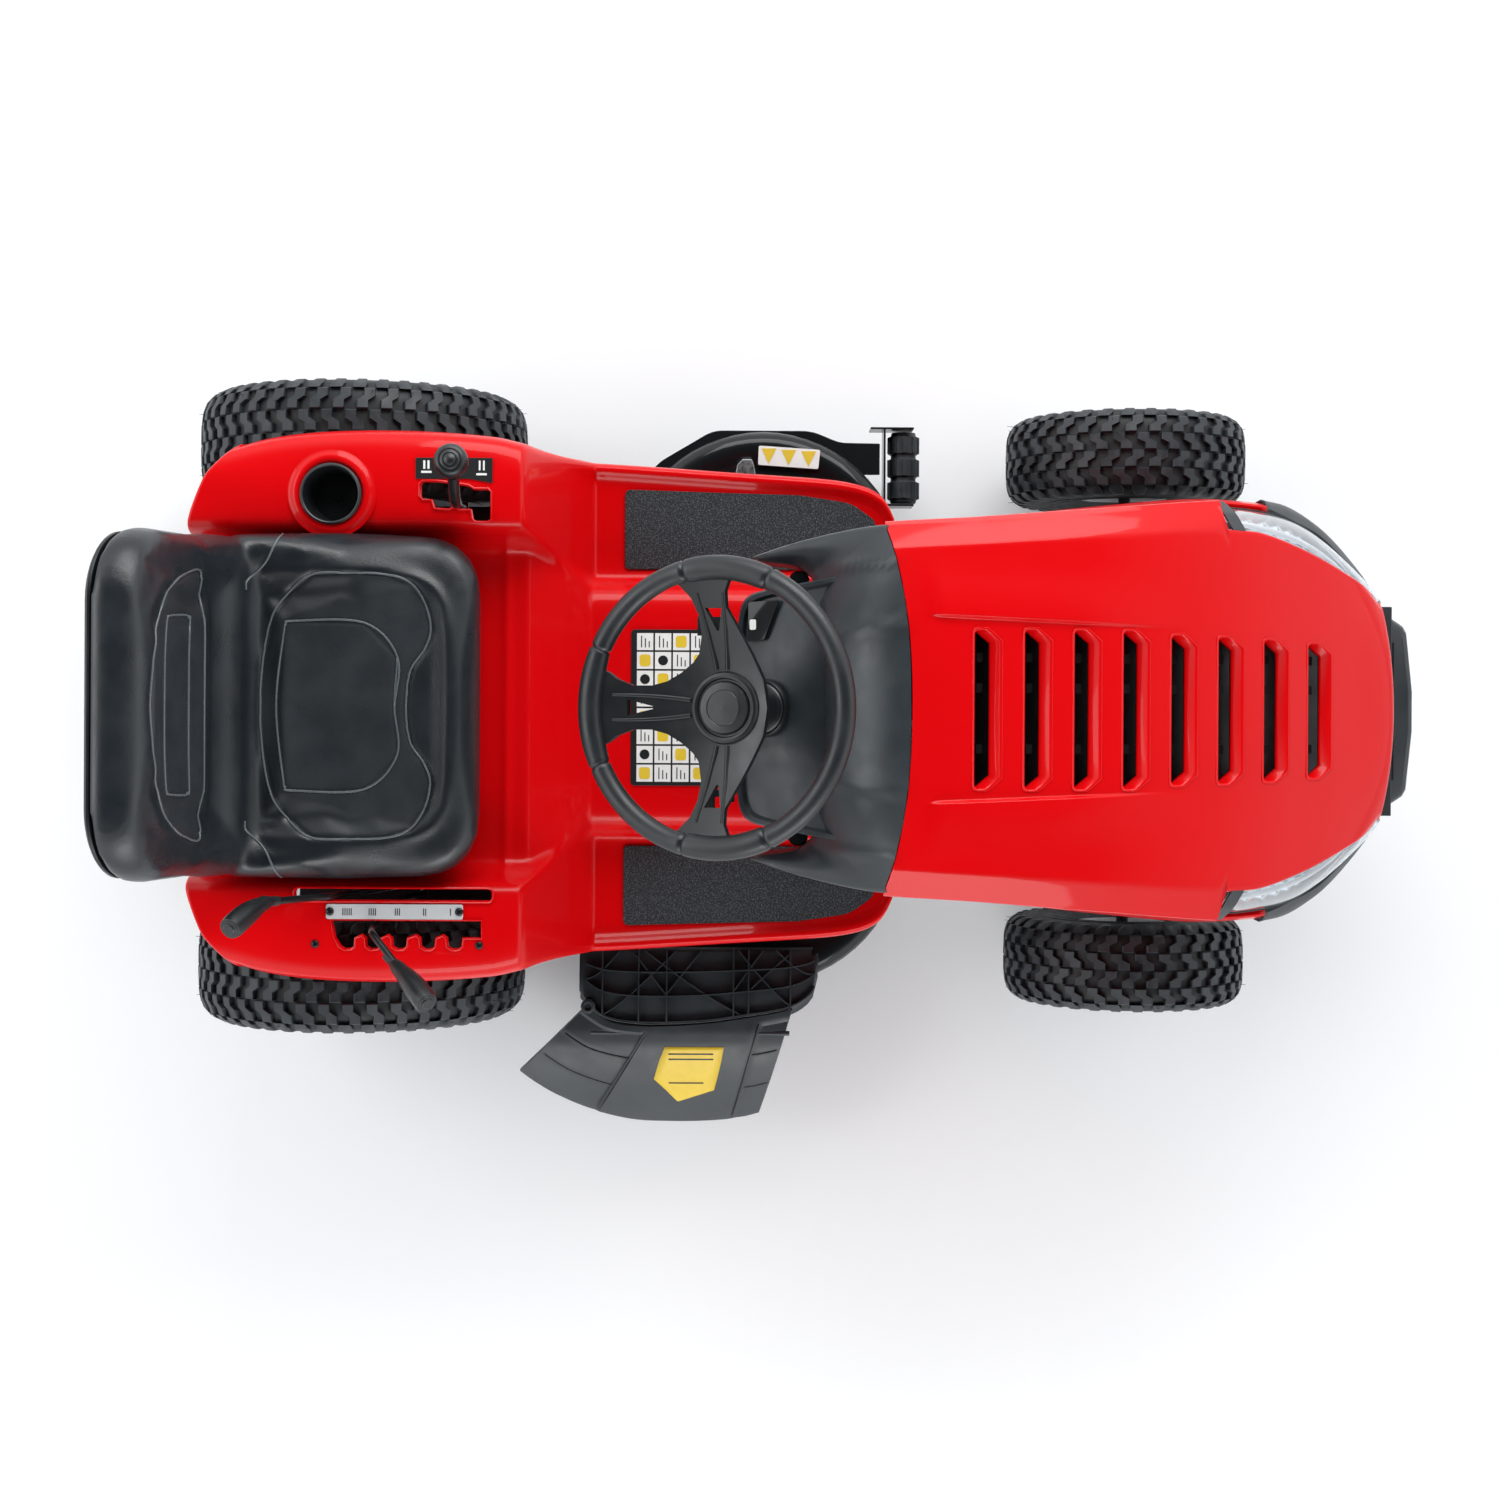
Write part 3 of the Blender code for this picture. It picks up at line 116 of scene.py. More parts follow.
def frozen(made):
    """The mesh of an object as its modifiers leave it."""
    graph = bpy.context.evaluated_depsgraph_get()
    graph.update()
    return bpy.data.meshes.new_from_object(made.evaluated_get(graph), depsgraph=graph)


def carve(made, name, shape, operation="DIFFERENCE"):
    """Cuts a piece for good, so that the cut moves with it, and keeps its edges crisp."""
    tool = built(name, shape)
    add_step(made, "BOOLEAN", object=tool, operation=operation, solver="EXACT")
    apply_steps(made)
    made.data.set_sharp_from_angle(angle=math.radians(38))
    bpy.data.objects.remove(tool)


def finish_edges(made, bevel, rounds, wall):
    """Subdivision, wall thickness and rounded edges, as modifiers in that order."""
    if rounds:
        add_step(made, "SUBSURF", levels=rounds, render_levels=rounds)
    if wall:
        add_step(made, "SOLIDIFY", thickness=wall, offset=-1)
    if bevel:
        add_step(made, "BEVEL", width=bevel, segments=2, limit_method="ANGLE", angle_limit=math.radians(32),
                 harden_normals=True)


def dress(node, surface, bevel=0.0):
    """A better surface, and rounded edges, on a CAD node that stays."""
    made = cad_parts[node]
    made.data.materials.clear()
    made.data.materials.append(surface)
    if bevel:
        finish_edges(made, bevel, 0, 0.0)


def join(shapes):
    """Several shapes as one."""
    points = []
    faces = []
    for some_points, some_faces in shapes:
        start = len(points)
        points.extend(some_points)
        faces.extend(tuple(start + corner for corner in face) for face in some_faces)
    return points, faces


def grid(rows, wrapped=False):
    """A surface through rows of points."""
    width = len(rows[0])
    points = [point for row in rows for point in row]
    faces = []
    for i in range(len(rows) - 1):
        for j in range(width if wrapped else width - 1):
            beside = (j + 1) % width
            faces.append((i * width + j, i * width + beside, (i + 1) * width + beside, (i + 1) * width + j))
    return points, faces


def loft(rings):
    """A closed body through rings of points."""
    points, faces = capped(rings)
    return points, faces[:-1] + [tuple(range(len(rings[0]))), faces[-1]]


def capped(rings):
    """A shell through rings of points, closed over the last one."""
    points, faces = grid(rings, wrapped=True)
    count = len(rings[0])
    last = (len(rings) - 1) * count
    return points, faces + [tuple(range(last, last + count))]


def prism(outline, low, high):
    """An upright body: an (x, y) outline drawn out between two heights."""
    return loft([[(x, y, level) for x, y in outline] for level in (low, high)])


def box(x0, x1, y0, y1, z0, z1):
    """A box between two corners."""
    return prism([(x0, y0), (x1, y0), (x1, y1), (x0, y1)], z0, z1)


def shares(count):
    """Even shares from 0 to 1."""
    return [step / count for step in range(count + 1)]


def arc(centre_a, centre_b, radius, start, end, steps):
    """Points along an arc in a plane; the angles are in degrees."""
    angles = [math.radians(start + (end - start) * step / steps) for step in range(steps + 1)]
    return [(centre_a + radius * math.cos(angle), centre_b + radius * math.sin(angle)) for angle in angles]


def doubled(points):
    """Points of the left half, then their mirror images back to the first one's."""
    return points + [(-point[0], *point[1:]) for point in reversed(points)]


def both_halves(row):
    """A row right across the machine from its left half, which starts in the middle."""
    return [(-point[0], *point[1:]) for point in reversed(row[1:])] + row


def on_side(side, points):
    """Points built on the left, kept there or mirrored to the right."""
    return [(side * point[0], point[1], point[2]) for point in points]


def rounded(x0, x1, y0, y1, corner, steps=5):
    """A rectangle with round corners."""
    outline = arc(x1 - corner, y1 - corner, corner, 0, 90, steps)
    outline += arc(x0 + corner, y1 - corner, corner, 90, 180, steps)
    outline += arc(x0 + corner, y0 + corner, corner, 180, 270, steps)
    return outline + arc(x1 - corner, y0 + corner, corner, 270, 360, steps)


def turned(profile, centre, axis, sides, closed=False):
    """A body of revolution through (radius, along) points; closed joins the profile's two ends.

    The axis is "z", or "x" across the machine.
    """
    rows = []
    for radius, along in profile + (profile[:1] if closed else []):
        reach = max(radius, 0.00002)
        ring = []
        for step in range(sides):
            angle = 2 * math.pi * step / sides
            a, b = reach * math.cos(angle), reach * math.sin(angle)
            ring.append(Vector(centre) + Vector((a, b, along) if axis == "z" else (along, a, b)))
        rows.append(ring)
    return grid(rows, wrapped=True)


def tube(route, radius, sides=12):
    """A round bar along a route, with closed ends; radius is one number or one for each point."""
    route = [Vector(point) for point in route]
    radii = radius if isinstance(radius, list) else [radius] * len(route)
    runs = [(after - before).normalized() for before, after in zip(route, route[1:])]
    side = runs[0].orthogonal().normalized()
    angles = [2 * math.pi * step / sides for step in range(sides)]
    rings = []
    for index, (point, reach) in enumerate(zip(route, radii)):
        heading = (runs[max(index - 1, 0)] + runs[min(index, len(runs) - 1)]).normalized()
        side = (side - heading * side.dot(heading)).normalized()
        other = heading.cross(side)
        rings.append([point + (side * math.cos(angle) + other * math.sin(angle)) * reach for angle in angles])
    return loft(rings)


def smooth_route(points, steps=8):
    """A Catmull-Rom curve through points of any size."""
    points = [Vector(point) for point in points]
    ends = [2 * points[0] - points[1]] + points + [2 * points[-1] - points[-2]]
    route = []
    for before, first, second, after in zip(ends, ends[1:], ends[2:], ends[3:]):
        for step in range(steps):
            t = step / steps
            route.append(0.5 * (2 * first + (second - before) * t
                                + (2 * before - 5 * first + 4 * second - after) * t * t
                                + (3 * first - before - 3 * second + after) * t * t * t))
    return route + [points[-1]]


def squarer(value, power):
    """A sine or cosine bent towards a square's, with its sign kept."""
    return math.copysign(abs(value) ** power, value)


def turn(shape, pivot, axis, degrees):
    """A shape turned about a line through the pivot."""
    points, faces = shape
    turning = Matrix.Rotation(math.radians(degrees), 3, axis)
    pivot = Vector(pivot)
    return [turning @ (Vector(point) - pivot) + pivot for point in points], faces


def moved(shape, by):
    """A shape moved."""
    points, faces = shape
    return [Vector(point) + Vector(by) for point in points], faces


def between(table, at):
    """A smooth value at a place in a table of (place, value) pairs whose places fall."""
    if at >= table[0][0]:
        return table[0][1]
    if at <= table[-1][0]:
        return table[-1][1]
    for index, ((high, first), (low, second)) in enumerate(zip(table, table[1:])):
        if at >= low:
            break
    before = table[max(index - 1, 0)]
    after = table[min(index + 2, len(table) - 1)]
    span = high - low
    straight = (second - first) / (low - high)
    slope_first = (second - before[1]) / (low - before[0]) if index else straight
    slope_second = (after[1] - first) / (after[0] - high) if after[0] != low else straight
    t = (high - at) / span
    m0 = -slope_first * span
    m1 = -slope_second * span
    return ((2 * t ** 3 - 3 * t * t + 1) * first + (t ** 3 - 2 * t * t + t) * m0
            + (3 * t * t - 2 * t ** 3) * second + (t ** 3 - t * t) * m1)


def ramp(value, low, high):
    """0 below low, 1 above high, and a smooth step between."""
    t = min(max((value - low) / (high - low), 0.0), 1.0)
    return t * t * (3 - 2 * t)


# ---- Materials -------------------------------------------------------------------------------
def surface(name, colour, roughness, metallic=0.0):
    """A Principled material to build on: its tree, its shader and its object coordinates."""
    made = bpy.data.materials.new(name)
    made.use_nodes = True
    made.diffuse_color = (*colour, 1.0)
    tree = made.node_tree
    shader = tree.nodes["Principled BSDF"]
    fill(shader, {"Base Color": (*colour, 1.0), "Roughness": roughness, "Metallic": metallic})
    place = tree.nodes.new("ShaderNodeTexCoord").outputs["Object"]
    return made, tree, shader, place


def fill(node, values):
    """Sets a node's inputs by name."""
    for name, value in values.items():
        node.inputs[name].default_value = value


def add_node(tree, kind, link, socket, output, values):
    """A node with one linked input, its other inputs set, and the output that is wanted."""
    node = tree.nodes.new(kind)
    fill(node, values)
    tree.links.new(link, node.inputs[socket])
    return node.outputs[output]


def noise_node(tree, place, scale, detail=3.0, roughness=0.5):
    """Noise over the object."""
    values = {"Scale": scale, "Detail": detail, "Roughness": roughness}
    return add_node(tree, "ShaderNodeTexNoise", place, "Vector", "Fac", values)


def cells(tree, place, scale):
    """Cells over the object, as grain or pebbles."""
    return add_node(tree, "ShaderNodeTexVoronoi", place, "Vector", "Distance", {"Scale": scale})


def spread(tree, factor, low=0.0, high=1.0, from_low=0.3, from_high=0.7):
    """A factor turned into values between low and high."""
    values = {"From Min": from_low, "From Max": from_high, "To Min": low, "To Max": high}
    return add_node(tree, "ShaderNodeMapRange", factor, "Value", "Result", values)


def tint(tree, shader, factor, low, high):
    """The base colour, mixed from two by a factor."""
    node = tree.nodes.new("ShaderNodeMix")
    node.data_type = "RGBA"
    fill(node, {"A": (*low, 1.0), "B": (*high, 1.0)})
    tree.links.new(factor, node.inputs["Factor"])
    tree.links.new(node.outputs["Result"], shader.inputs["Base Color"])


def polish(tree, shader, factor, low, high):
    """The roughness, spread between two values by a factor."""
    tree.links.new(spread(tree, factor, low, high), shader.inputs["Roughness"])


def bump(tree, shader, heights, strength, distance):
    """One or more heights as a bump on the shader."""
    normal = None
    for height in heights:
        node = tree.nodes.new("ShaderNodeBump")
        fill(node, {"Strength": strength, "Distance": distance})
        tree.links.new(height, node.inputs["Height"])
        if normal:
            tree.links.new(normal, node.inputs["Normal"])
        normal = node.outputs["Normal"]
    tree.links.new(normal, shader.inputs["Normal"])


def painted(name, colour, darker, roughness, coat):
    """Sprayed enamel: a clear coat over colour that varies slightly, with faint orange peel."""
    made, tree, shader, place = surface(name, colour, roughness)
    fill(shader, {"Coat Weight": coat, "Coat Roughness": 0.05, "Coat IOR": 1.42, "Specular IOR Level": 0.08})
    tint(tree, shader, spread(tree, noise_node(tree, place, 5.0)), darker, colour)
    polish(tree, shader, noise_node(tree, place, 12.0), roughness * 0.94, roughness * 1.06)
    bump(tree, shader, [noise_node(tree, place, 700.0, 1.0)], 0.01, 0.0001)
    return made


def grained(name, colour, lighter, roughness, grain=900.0, depth=0.00025, strength=0.35):
    """Moulded plastic with a fine spark-eroded grain."""
    made, tree, shader, place = surface(name, colour, roughness)
    tint(tree, shader, spread(tree, noise_node(tree, place, 9.0, 4.0)), colour, lighter)
    polish(tree, shader, noise_node(tree, place, 35.0), roughness - 0.05, roughness + 0.07)
    bump(tree, shader, [noise_node(tree, place, grain, 2.0)], strength, depth)
    return made


def leathery(name, colour, lighter, roughness):
    """Vinyl: pebbled cells with fine creases between, and a slow change of sheen."""
    made, tree, shader, place = surface(name, colour, roughness)
    tint(tree, shader, spread(tree, noise_node(tree, place, 14.0, 4.0)), colour, lighter)
    polish(tree, shader, noise_node(tree, place, 22.0), roughness - 0.07, roughness + 0.08)
    bump(tree, shader, [cells(tree, place, 520.0), noise_node(tree, place, 240.0, 4.0, 0.6)], 0.3, 0.00035)
    return made


def rubbery(name, colour, lighter, roughness):
    """Rubber: matt, dusty in places, with fine pits."""
    made, tree, shader, place = surface(name, colour, roughness)
    dust = spread(tree, noise_node(tree, place, 30.0, 6.0, 0.65), from_low=0.42, from_high=0.72)
    tint(tree, shader, dust, colour, lighter)
    polish(tree, shader, noise_node(tree, place, 60.0, 4.0), roughness - 0.12, roughness + 0.1)
    bump(tree, shader, [noise_node(tree, place, 650.0)], 0.3, 0.0004)
    return made


def metal(name, colour, roughness, grain=120.0, spots=0.0):
    """Bare or plated metal with uneven polish."""
    made, tree, shader, place = surface(name, colour, roughness, 1.0)
    polish(tree, shader, noise_node(tree, place, grain, 6.0, 0.6), roughness * 0.75, roughness * 1.35)
    dull = tuple(channel * (0.8 - spots) for channel in colour)
    tint(tree, shader, spread(tree, noise_node(tree, place, 18.0, 5.0)), dull, colour)
    bump(tree, shader, [noise_node(tree, place, grain * 5)], 0.12, 0.0003)
    return made


def speckled_mat():
    """Foot mat: black rubber crumb with paler grains."""
    made, tree, shader, place = surface("mat_crumb", (0.03, 0.038, 0.044), 0.85)
    pale = spread(tree, noise_node(tree, place, 430.0, 2.0), from_low=0.48, from_high=0.68)
    tint(tree, shader, pale, (0.012, 0.015, 0.018), (0.07, 0.086, 0.096))
    bump(tree, shader, [cells(tree, place, 420.0)], 0.8, 0.001)
    return made


def clear_lens():
    """Clear polycarbonate."""
    made, tree, shader, place = surface("lens_clear", (0.9, 0.95, 1.0), 0.03)
    fill(shader, {"Transmission Weight": 0.95, "IOR": 1.35})
    bump(tree, shader, [noise_node(tree, place, 90.0, 1.0)], 0.04, 0.0004)
    return made


def flat_paper(name, colour, roughness=0.4):
    """Printed film with a faint weave, for labels."""
    made, tree, shader, place = surface(name, colour, roughness)
    darker = tuple(channel * 0.93 for channel in colour)
    tint(tree, shader, spread(tree, noise_node(tree, place, 60.0)), darker, colour)
    return made


RED = painted("red_enamel", (0.64, 0.0012, 0.003), (0.61, 0.001, 0.0026), 0.34, 0.38)
BLACK_PAINT = painted("black_enamel", (0.009, 0.0105, 0.012), (0.006, 0.007, 0.008), 0.34, 0.6)
FRAME_PAINT = painted("frame_enamel", (0.018, 0.02, 0.022), (0.012, 0.013, 0.015), 0.42, 0.3)
RIM_PAINT = painted("rim_enamel", (0.62, 0.63, 0.64), (0.56, 0.57, 0.58), 0.38, 0.5)
TYRE = rubbery("tyre_rubber_worn", (0.012, 0.0155, 0.019), (0.03, 0.037, 0.043), 0.52)
CASING = rubbery("tyre_rubber_casing", (0.0045, 0.0058, 0.007), (0.012, 0.015, 0.0175), 0.62)
DASH = grained("dash_grain", (0.017, 0.022, 0.026), (0.024, 0.031, 0.036), 0.36)
CHUTE = grained("chute_grain", (0.02, 0.025, 0.0285), (0.031, 0.0375, 0.042), 0.4, 700.0)
GRIP = grained("grip_grain", (0.007, 0.0085, 0.0098), (0.0115, 0.0135, 0.015), 0.34, 1200.0, 0.00015, 0.15)
WHEEL_SKIN = leathery("wheel_skin", (0.007, 0.009, 0.0105), (0.013, 0.016, 0.0185), 0.4)
BUMPER = grained("bumper_grain", (0.02, 0.025, 0.029), (0.03, 0.036, 0.041), 0.48)
VINYL = leathery("seat_vinyl_grain", (0.0085, 0.0115, 0.0145), (0.0135, 0.0175, 0.0215), 0.33)
VINYL_PANEL = leathery("seat_panel_grain", (0.0115, 0.0145, 0.018), (0.019, 0.0235, 0.028), 0.5)
# Piping far paler than the seat vinyl: a painted highlight along the seat's beads.
PIPING_PAINTED_HIGHLIGHT = grained("piping_painted_highlight", (0.08, 0.095, 0.105), (0.11, 0.125, 0.135), 0.26)
STEEL = metal("zinc_steel", (0.62, 0.63, 0.64), 0.28)
DARK_STEEL = metal("dark_steel", (0.16, 0.165, 0.17), 0.42, 90.0)
ALLOY = metal("cast_alloy_skin", (0.5, 0.51, 0.52), 0.46, 60.0, 0.15)
CHROME = metal("lamp_chrome", (0.86, 0.89, 0.92), 0.09, 25.0)
MAT = speckled_mat()
LENS = clear_lens()
TANK = grained("tank_shell", (0.6, 0.6, 0.55), (0.68, 0.68, 0.63), 0.45)
WHITE_FILM = flat_paper("label_white", (0.8, 0.8, 0.78))
SILVER_FILM = flat_paper("label_silver", (0.5, 0.51, 0.52), 0.35)
YELLOW_FILM = flat_paper("label_yellow", (0.74, 0.52, 0.035))
BLACK_FILM = flat_paper("label_black", (0.01, 0.011, 0.012))


# ---- Turf tyres ------------------------------------------------------------------------------
BLOCK = [(-0.4, -0.46), (0.07, -0.46), (0.07, -0.11), (0.38, 0.09), (0.38, 0.46), (-0.09, 0.46),
         (-0.09, 0.13), (-0.4, -0.08)]
LUG = [(-0.34, 0.8), (0.22, 0.8), (0.34, 0.88), (0.3, 0.985), (-0.14, 0.985), (-0.34, 0.9)]
SQUARE = 3.8                         # how square the casing is across; 2 is round


def tyre(name, radius, width, rim_radius, pitches, lanes):
    """Casing with a rounded crown, staggered boomerang blocks, shoulder lugs and moulding whiskers."""
    centre = middle(name) - ORIGIN
    half = width / 2
    depth = 0.0078                   # how far the blocks stand out
    waist = (radius + rim_radius) / 2
    crown = radius - depth - waist

    def bulge(share):
        """How far out the casing reaches at a share of its half width."""
        return (1 - share ** SQUARE) ** (1 / SQUARE)

    def on_tread(turn_share, across, lift):
        """A place on the tread, or a little off it: by share of a turn and distance across."""
        share = min(abs(across) / (half + lift * 0.3), 0.999)
        reach = waist + (radius - depth + lift - waist) * bulge(share)
        angle = 2 * math.pi * turn_share
        return centre + Vector((across, reach * math.cos(angle), reach * math.sin(angle)))

    profile = []
    for step in range(33):
        angle = math.radians(-58 + 148 * step / 16)
        x = squarer(math.cos(angle), 2 / SQUARE) * half
        profile.append((waist + squarer(math.sin(angle), 2 / SQUARE) * crown, x))
    bead = half - 0.024
    seat_radius = rim_radius + 0.001
    profile = [(seat_radius, bead)] + profile
    profile += [(seat_radius, -bead), (seat_radius, -bead + 0.012), (radius - 0.03, 0.012 - half),
                (radius - 0.024, 0.0), (radius - 0.03, half - 0.012), (seat_radius, bead - 0.012)]
    casing = [turned(profile, centre, "x", 96, closed=True)]
    for ring_at in (0.3, 0.52):
        ring_radius = rim_radius + (radius - rim_radius) * ring_at
        for side in (-1, 1):
            x = side * half * bulge(min(abs((ring_radius - waist) / crown), 0.99))
            foot = x - side * 0.001
            line = [(ring_radius - 0.002, foot), (ring_radius, x + side * 0.0012),
                    (ring_radius + 0.002, foot)]
            casing.append(turned(line, centre, "x", 96))

    shapes = []
    lane_width = 2 * half * 0.8 / lanes
    for lane in range(lanes):
        across = (lane + 0.5) * lane_width - half * 0.8
        flip = 1 if lane % 2 else -1
        for pitch in range(pitches):
            place = pitch + 0.5 * (lane % 2)
            rings = []
            for lift, grow in ((-0.001, 1.04), (depth * 0.82, 1.0), (depth, 0.9)):
                rings.append([on_tread((place + flip * u * grow) / pitches,
                                       across + v * grow * lane_width * 1.04, lift) for u, v in BLOCK])
            shapes.append(loft(rings))
    for side in (-1, 1):
        for pitch in range(pitches):
            place = pitch + 0.25 * side
            rings = []
            for lift, grow in ((-0.002, 1.0), (depth * 0.75, 0.94), (depth * 0.9, 0.84)):
                rings.append([on_tread((place + u * grow) / pitches, side * half * v, lift) for u, v in LUG])
            shapes.append(loft(rings))
    shapes += whiskers(on_tread, half, pitches, depth)
    body = name.replace("_tyre", "_wheel")
    piece(f"{name}_casing", join(casing), CASING, body, smooth=40, stands_for=(name,))
    piece(f"{name}_turf", join(shapes), TYRE, body, smooth=40)


def whiskers(on_tread, half, pitches, depth):
    """Thin rubber hairs, left where the mould was vented, along both shoulders."""
    rolled = random.Random(7)
    hairs = []
    for index in range(0, pitches, 2):
        for side in (-1, 1):
            across = side * half * rolled.choice((0.55, 0.72, 0.86))
            place = (index + rolled.random()) / pitches
            start = on_tread(place, across, depth * 0.6)
            lean = 0.002 * rolled.random()
            rise = depth + 0.004 + 0.006 * rolled.random()
            end = on_tread(place + lean, across * 1.01, rise)
            hairs.append(tube([start, end], [0.0007, 0.0003], 4))
    return hairs


def tyres():
    """All four tyres, the front pair smaller."""
    for word, _ in SIDES:
        tyre(f"rear_{word}_tyre", 0.254, 0.166, 0.104, 45, 4)
        tyre(f"front_{word}_tyre", 0.19, 0.134, 0.078, 32, 4)


# ---- Hood, lamps, grille and bumper ------------------------------------------------------------
HOOD_TOPS = [(-0.19, 0.882), (-0.2225, 0.878), (-0.35, 0.858), (-0.5, 0.828), (-0.64, 0.788), (-0.76, 0.742),
             (-0.84, 0.7), (-0.885, 0.668), (-0.9, 0.652)]
HOOD_SHOULDERS = [(-0.19, 0.236), (-0.2225, 0.24), (-0.35, 0.252), (-0.5, 0.266), (-0.64, 0.279),
                  (-0.7, 0.281), (-0.766, 0.272), (-0.812, 0.247), (-0.866, 0.19), (-0.9, 0.15)]
HOOD_SKIRTS = [(-0.19, 0.254), (-0.2225, 0.258), (-0.35, 0.276), (-0.5, 0.296), (-0.64, 0.309),
               (-0.745, 0.305)]
LAMP_REAR = -0.65
LAMP_INNER = [(-0.65, 0.2385), (-0.7, 0.235), (-0.765, 0.214), (-0.82, 0.19), (-0.87, 0.165), (-0.888, 0.148)]
LAMP_OUTER = [(0.2835, -0.65, 0.626), (0.283, -0.705, 0.616), (0.2725, -0.766, 0.607), (0.246, -0.814, 0.6),
              (0.19, -0.87, 0.592), (0.146, -0.906, 0.588)]
HOOD_REAR = -0.2215
HOOD_NOSE = -0.888
SLOT_HALVES = (0.1045, 0.1055, 0.1055, 0.1055, 0.1005, 0.099, 0.0965, 0.0925)
SLOTS = len(SLOT_HALVES)
SLOT_FIRST = -0.3
SLOT_PITCH = 0.0664
SLOT_WIDE = 0.038
PANEL_LOW = 0.452


def hood_z(x, y):
    """Height of the hood's top: crowned, with a fold near each shoulder and a cheek beside the louvres."""
    x = abs(x)
    share = x / between(HOOD_SHOULDERS, y)
    height = between(HOOD_TOPS, y) - 0.015 * share ** 2.6
    height -= 0.017 * max((share - 0.865) / 0.135, 0.0)
    crease = crease_x(y)
    fade = ramp(-y, 0.247, 0.263) * (1 - ramp(-y, 0.4, 0.6))
    height += (0.0062 * fade * ramp(x, crease - 0.002, crease + 0.003)
               * (1 - ramp(x, crease + 0.004, crease + 0.08)))
    return height


def hood_edge(y):
    """Half-width of the hood's top: the shoulder, and the lamp's inner edge from its rear end on."""
    if y > LAMP_REAR:
        return between(HOOD_SHOULDERS, y)
    return between(LAMP_INNER, y)


def crease_x(y):
    """Where the fold beside the louvres runs."""
    return 0.1197 - 0.0386 * (-y - 0.256)


def rear_bow(share):
    """How far the hood's rear edge reaches back at its sides, round the dash."""
    return 0.034 * share ** 2.4


def hood_columns(y):
    """Places across one half of a row: even inside the fold, close together along it, even to the edge."""
    edge = hood_edge(y)
    fold = crease_x(y)
    squeeze = min((edge - fold) / 0.12, 1.0)
    columns = [fold * step / 12 for step in range(12)]
    columns += [fold + squeeze * by for by in (-0.0022, -0.0008, 0.0005, 0.0018, 0.003, 0.0042, 0.0085,
                                               0.015, 0.024, 0.035, 0.048, 0.064, 0.08)]
    last = columns[-1]
    return columns + [last + (edge - last) * step / 14 for step in range(1, 15)]


def hood_row(y, forward=0.0, drop=0.0):
    """One row across the hood's top, its edges turned down; the rear edge bows round the dash."""
    edge = hood_edge(y)
    half = []
    for x in hood_columns(y):
        share = x / edge
        rear = rear_bow(share) * (1 - ramp(-y, 0.222, 0.32))
        bow = 0.014 * ramp(-y, 0.84, 0.888) * (1 - share * share)
        half.append((x, y + rear - bow - forward, hood_z(x, y) - drop))
    x, place, z = half[-1]
    lip = ((0.0022, 0.0012), (0.0034, 0.0042), (0.0034, 0.013))
    half += [(x + out, place, z - down) for out, down in lip]
    return both_halves(half)


def slot_outline(index, inset, front_inset):
    """A louvre slot's outline: round rear corners and chamfered front ones."""
    rear = SLOT_FIRST - index * SLOT_PITCH - inset
    front = SLOT_FIRST - index * SLOT_PITCH - SLOT_WIDE + front_inset
    half = SLOT_HALVES[index] - inset
    cut = 0.016
    outline = [(half - cut, front), (half - cut * 0.35, front + cut * 0.75), (half, front + cut * 1.2)]
    return doubled(outline + arc(half - 0.006, rear - 0.006, 0.006, 0, 90, 4))


def hood():
    """The hood's pressed top with its louvres, one side panel each side, and the black inner baffle."""
    places = [HOOD_REAR - 0.0075 * step for step in range(57)]
    places += [LAMP_REAR, LAMP_REAR - 0.0005]
    places += [-0.656 - 0.0073 * step for step in range(32)] + [HOOD_NOSE]
    rows = [hood_row(y) for y in sorted(places, reverse=True)]
    for forward, drop in ((0.004, 0.0035), (0.0062, 0.009), (0.0062, 0.02), (0.002, 0.03)):
        rows.append(hood_row(HOOD_NOSE, forward, drop))
    top = piece("hood_top", grid(rows), RED, "bonnet", smooth=180, wall=0.0026, stands_for=("hood",))
    slots = [prism(slot_outline(index, 0.0, 0.0), 0.55, 0.95) for index in range(SLOTS)]
    carve(top, "louvre_cutter", join(slots))
    levels = ((-0.001, -0.001, -0.0002), (-0.0003, -0.0003, 0.0005), (0.0008, 0.001, 0.0),
              (0.0016, 0.003, -0.0022), (0.0022, 0.013, -0.0105), (0.0026, 0.0142, -0.0125),
              (0.0028, 0.0146, -0.02))  # inset, inset at the front, rise
    funnels = [grid([[(x, y, hood_z(x, y) + rise) for x, y in slot_outline(index, inset, front_inset)]
                     for inset, front_inset, rise in levels], wrapped=True) for index in range(SLOTS)]
    piece("hood_louvres", join(funnels), RED, "bonnet", smooth=50, wall=-0.001)

    nose = SLOT_FIRST - SLOTS * SLOT_PITCH + 0.01
    section = ((-0.128, 0.03), (-0.128, 0.06), (-0.118, 0.068), (0.118, 0.068), (0.128, 0.06), (0.128, 0.03))
    rows = [[(x, y, between(HOOD_TOPS, y) - drop) for x, drop in section]
            for y in (-0.262, -0.3, -0.4, -0.5, -0.6, -0.7, nose)]
    ribs = []
    for index in range(SLOTS):
        y = SLOT_FIRST - index * SLOT_PITCH - 0.012
        top_z = between(HOOD_TOPS, y)
        for x in (-0.052, 0.028, 0.068):
            ribs.append(box(x - 0.006, x + 0.006, y - 0.004, y + 0.004, top_z - 0.067, top_z - 0.03))
    piece("hood_baffle", join([grid(rows)] + ribs), GRIP, "bonnet", wall=0.002)
    for word, side in SIDES:
        side_panel(word, side)


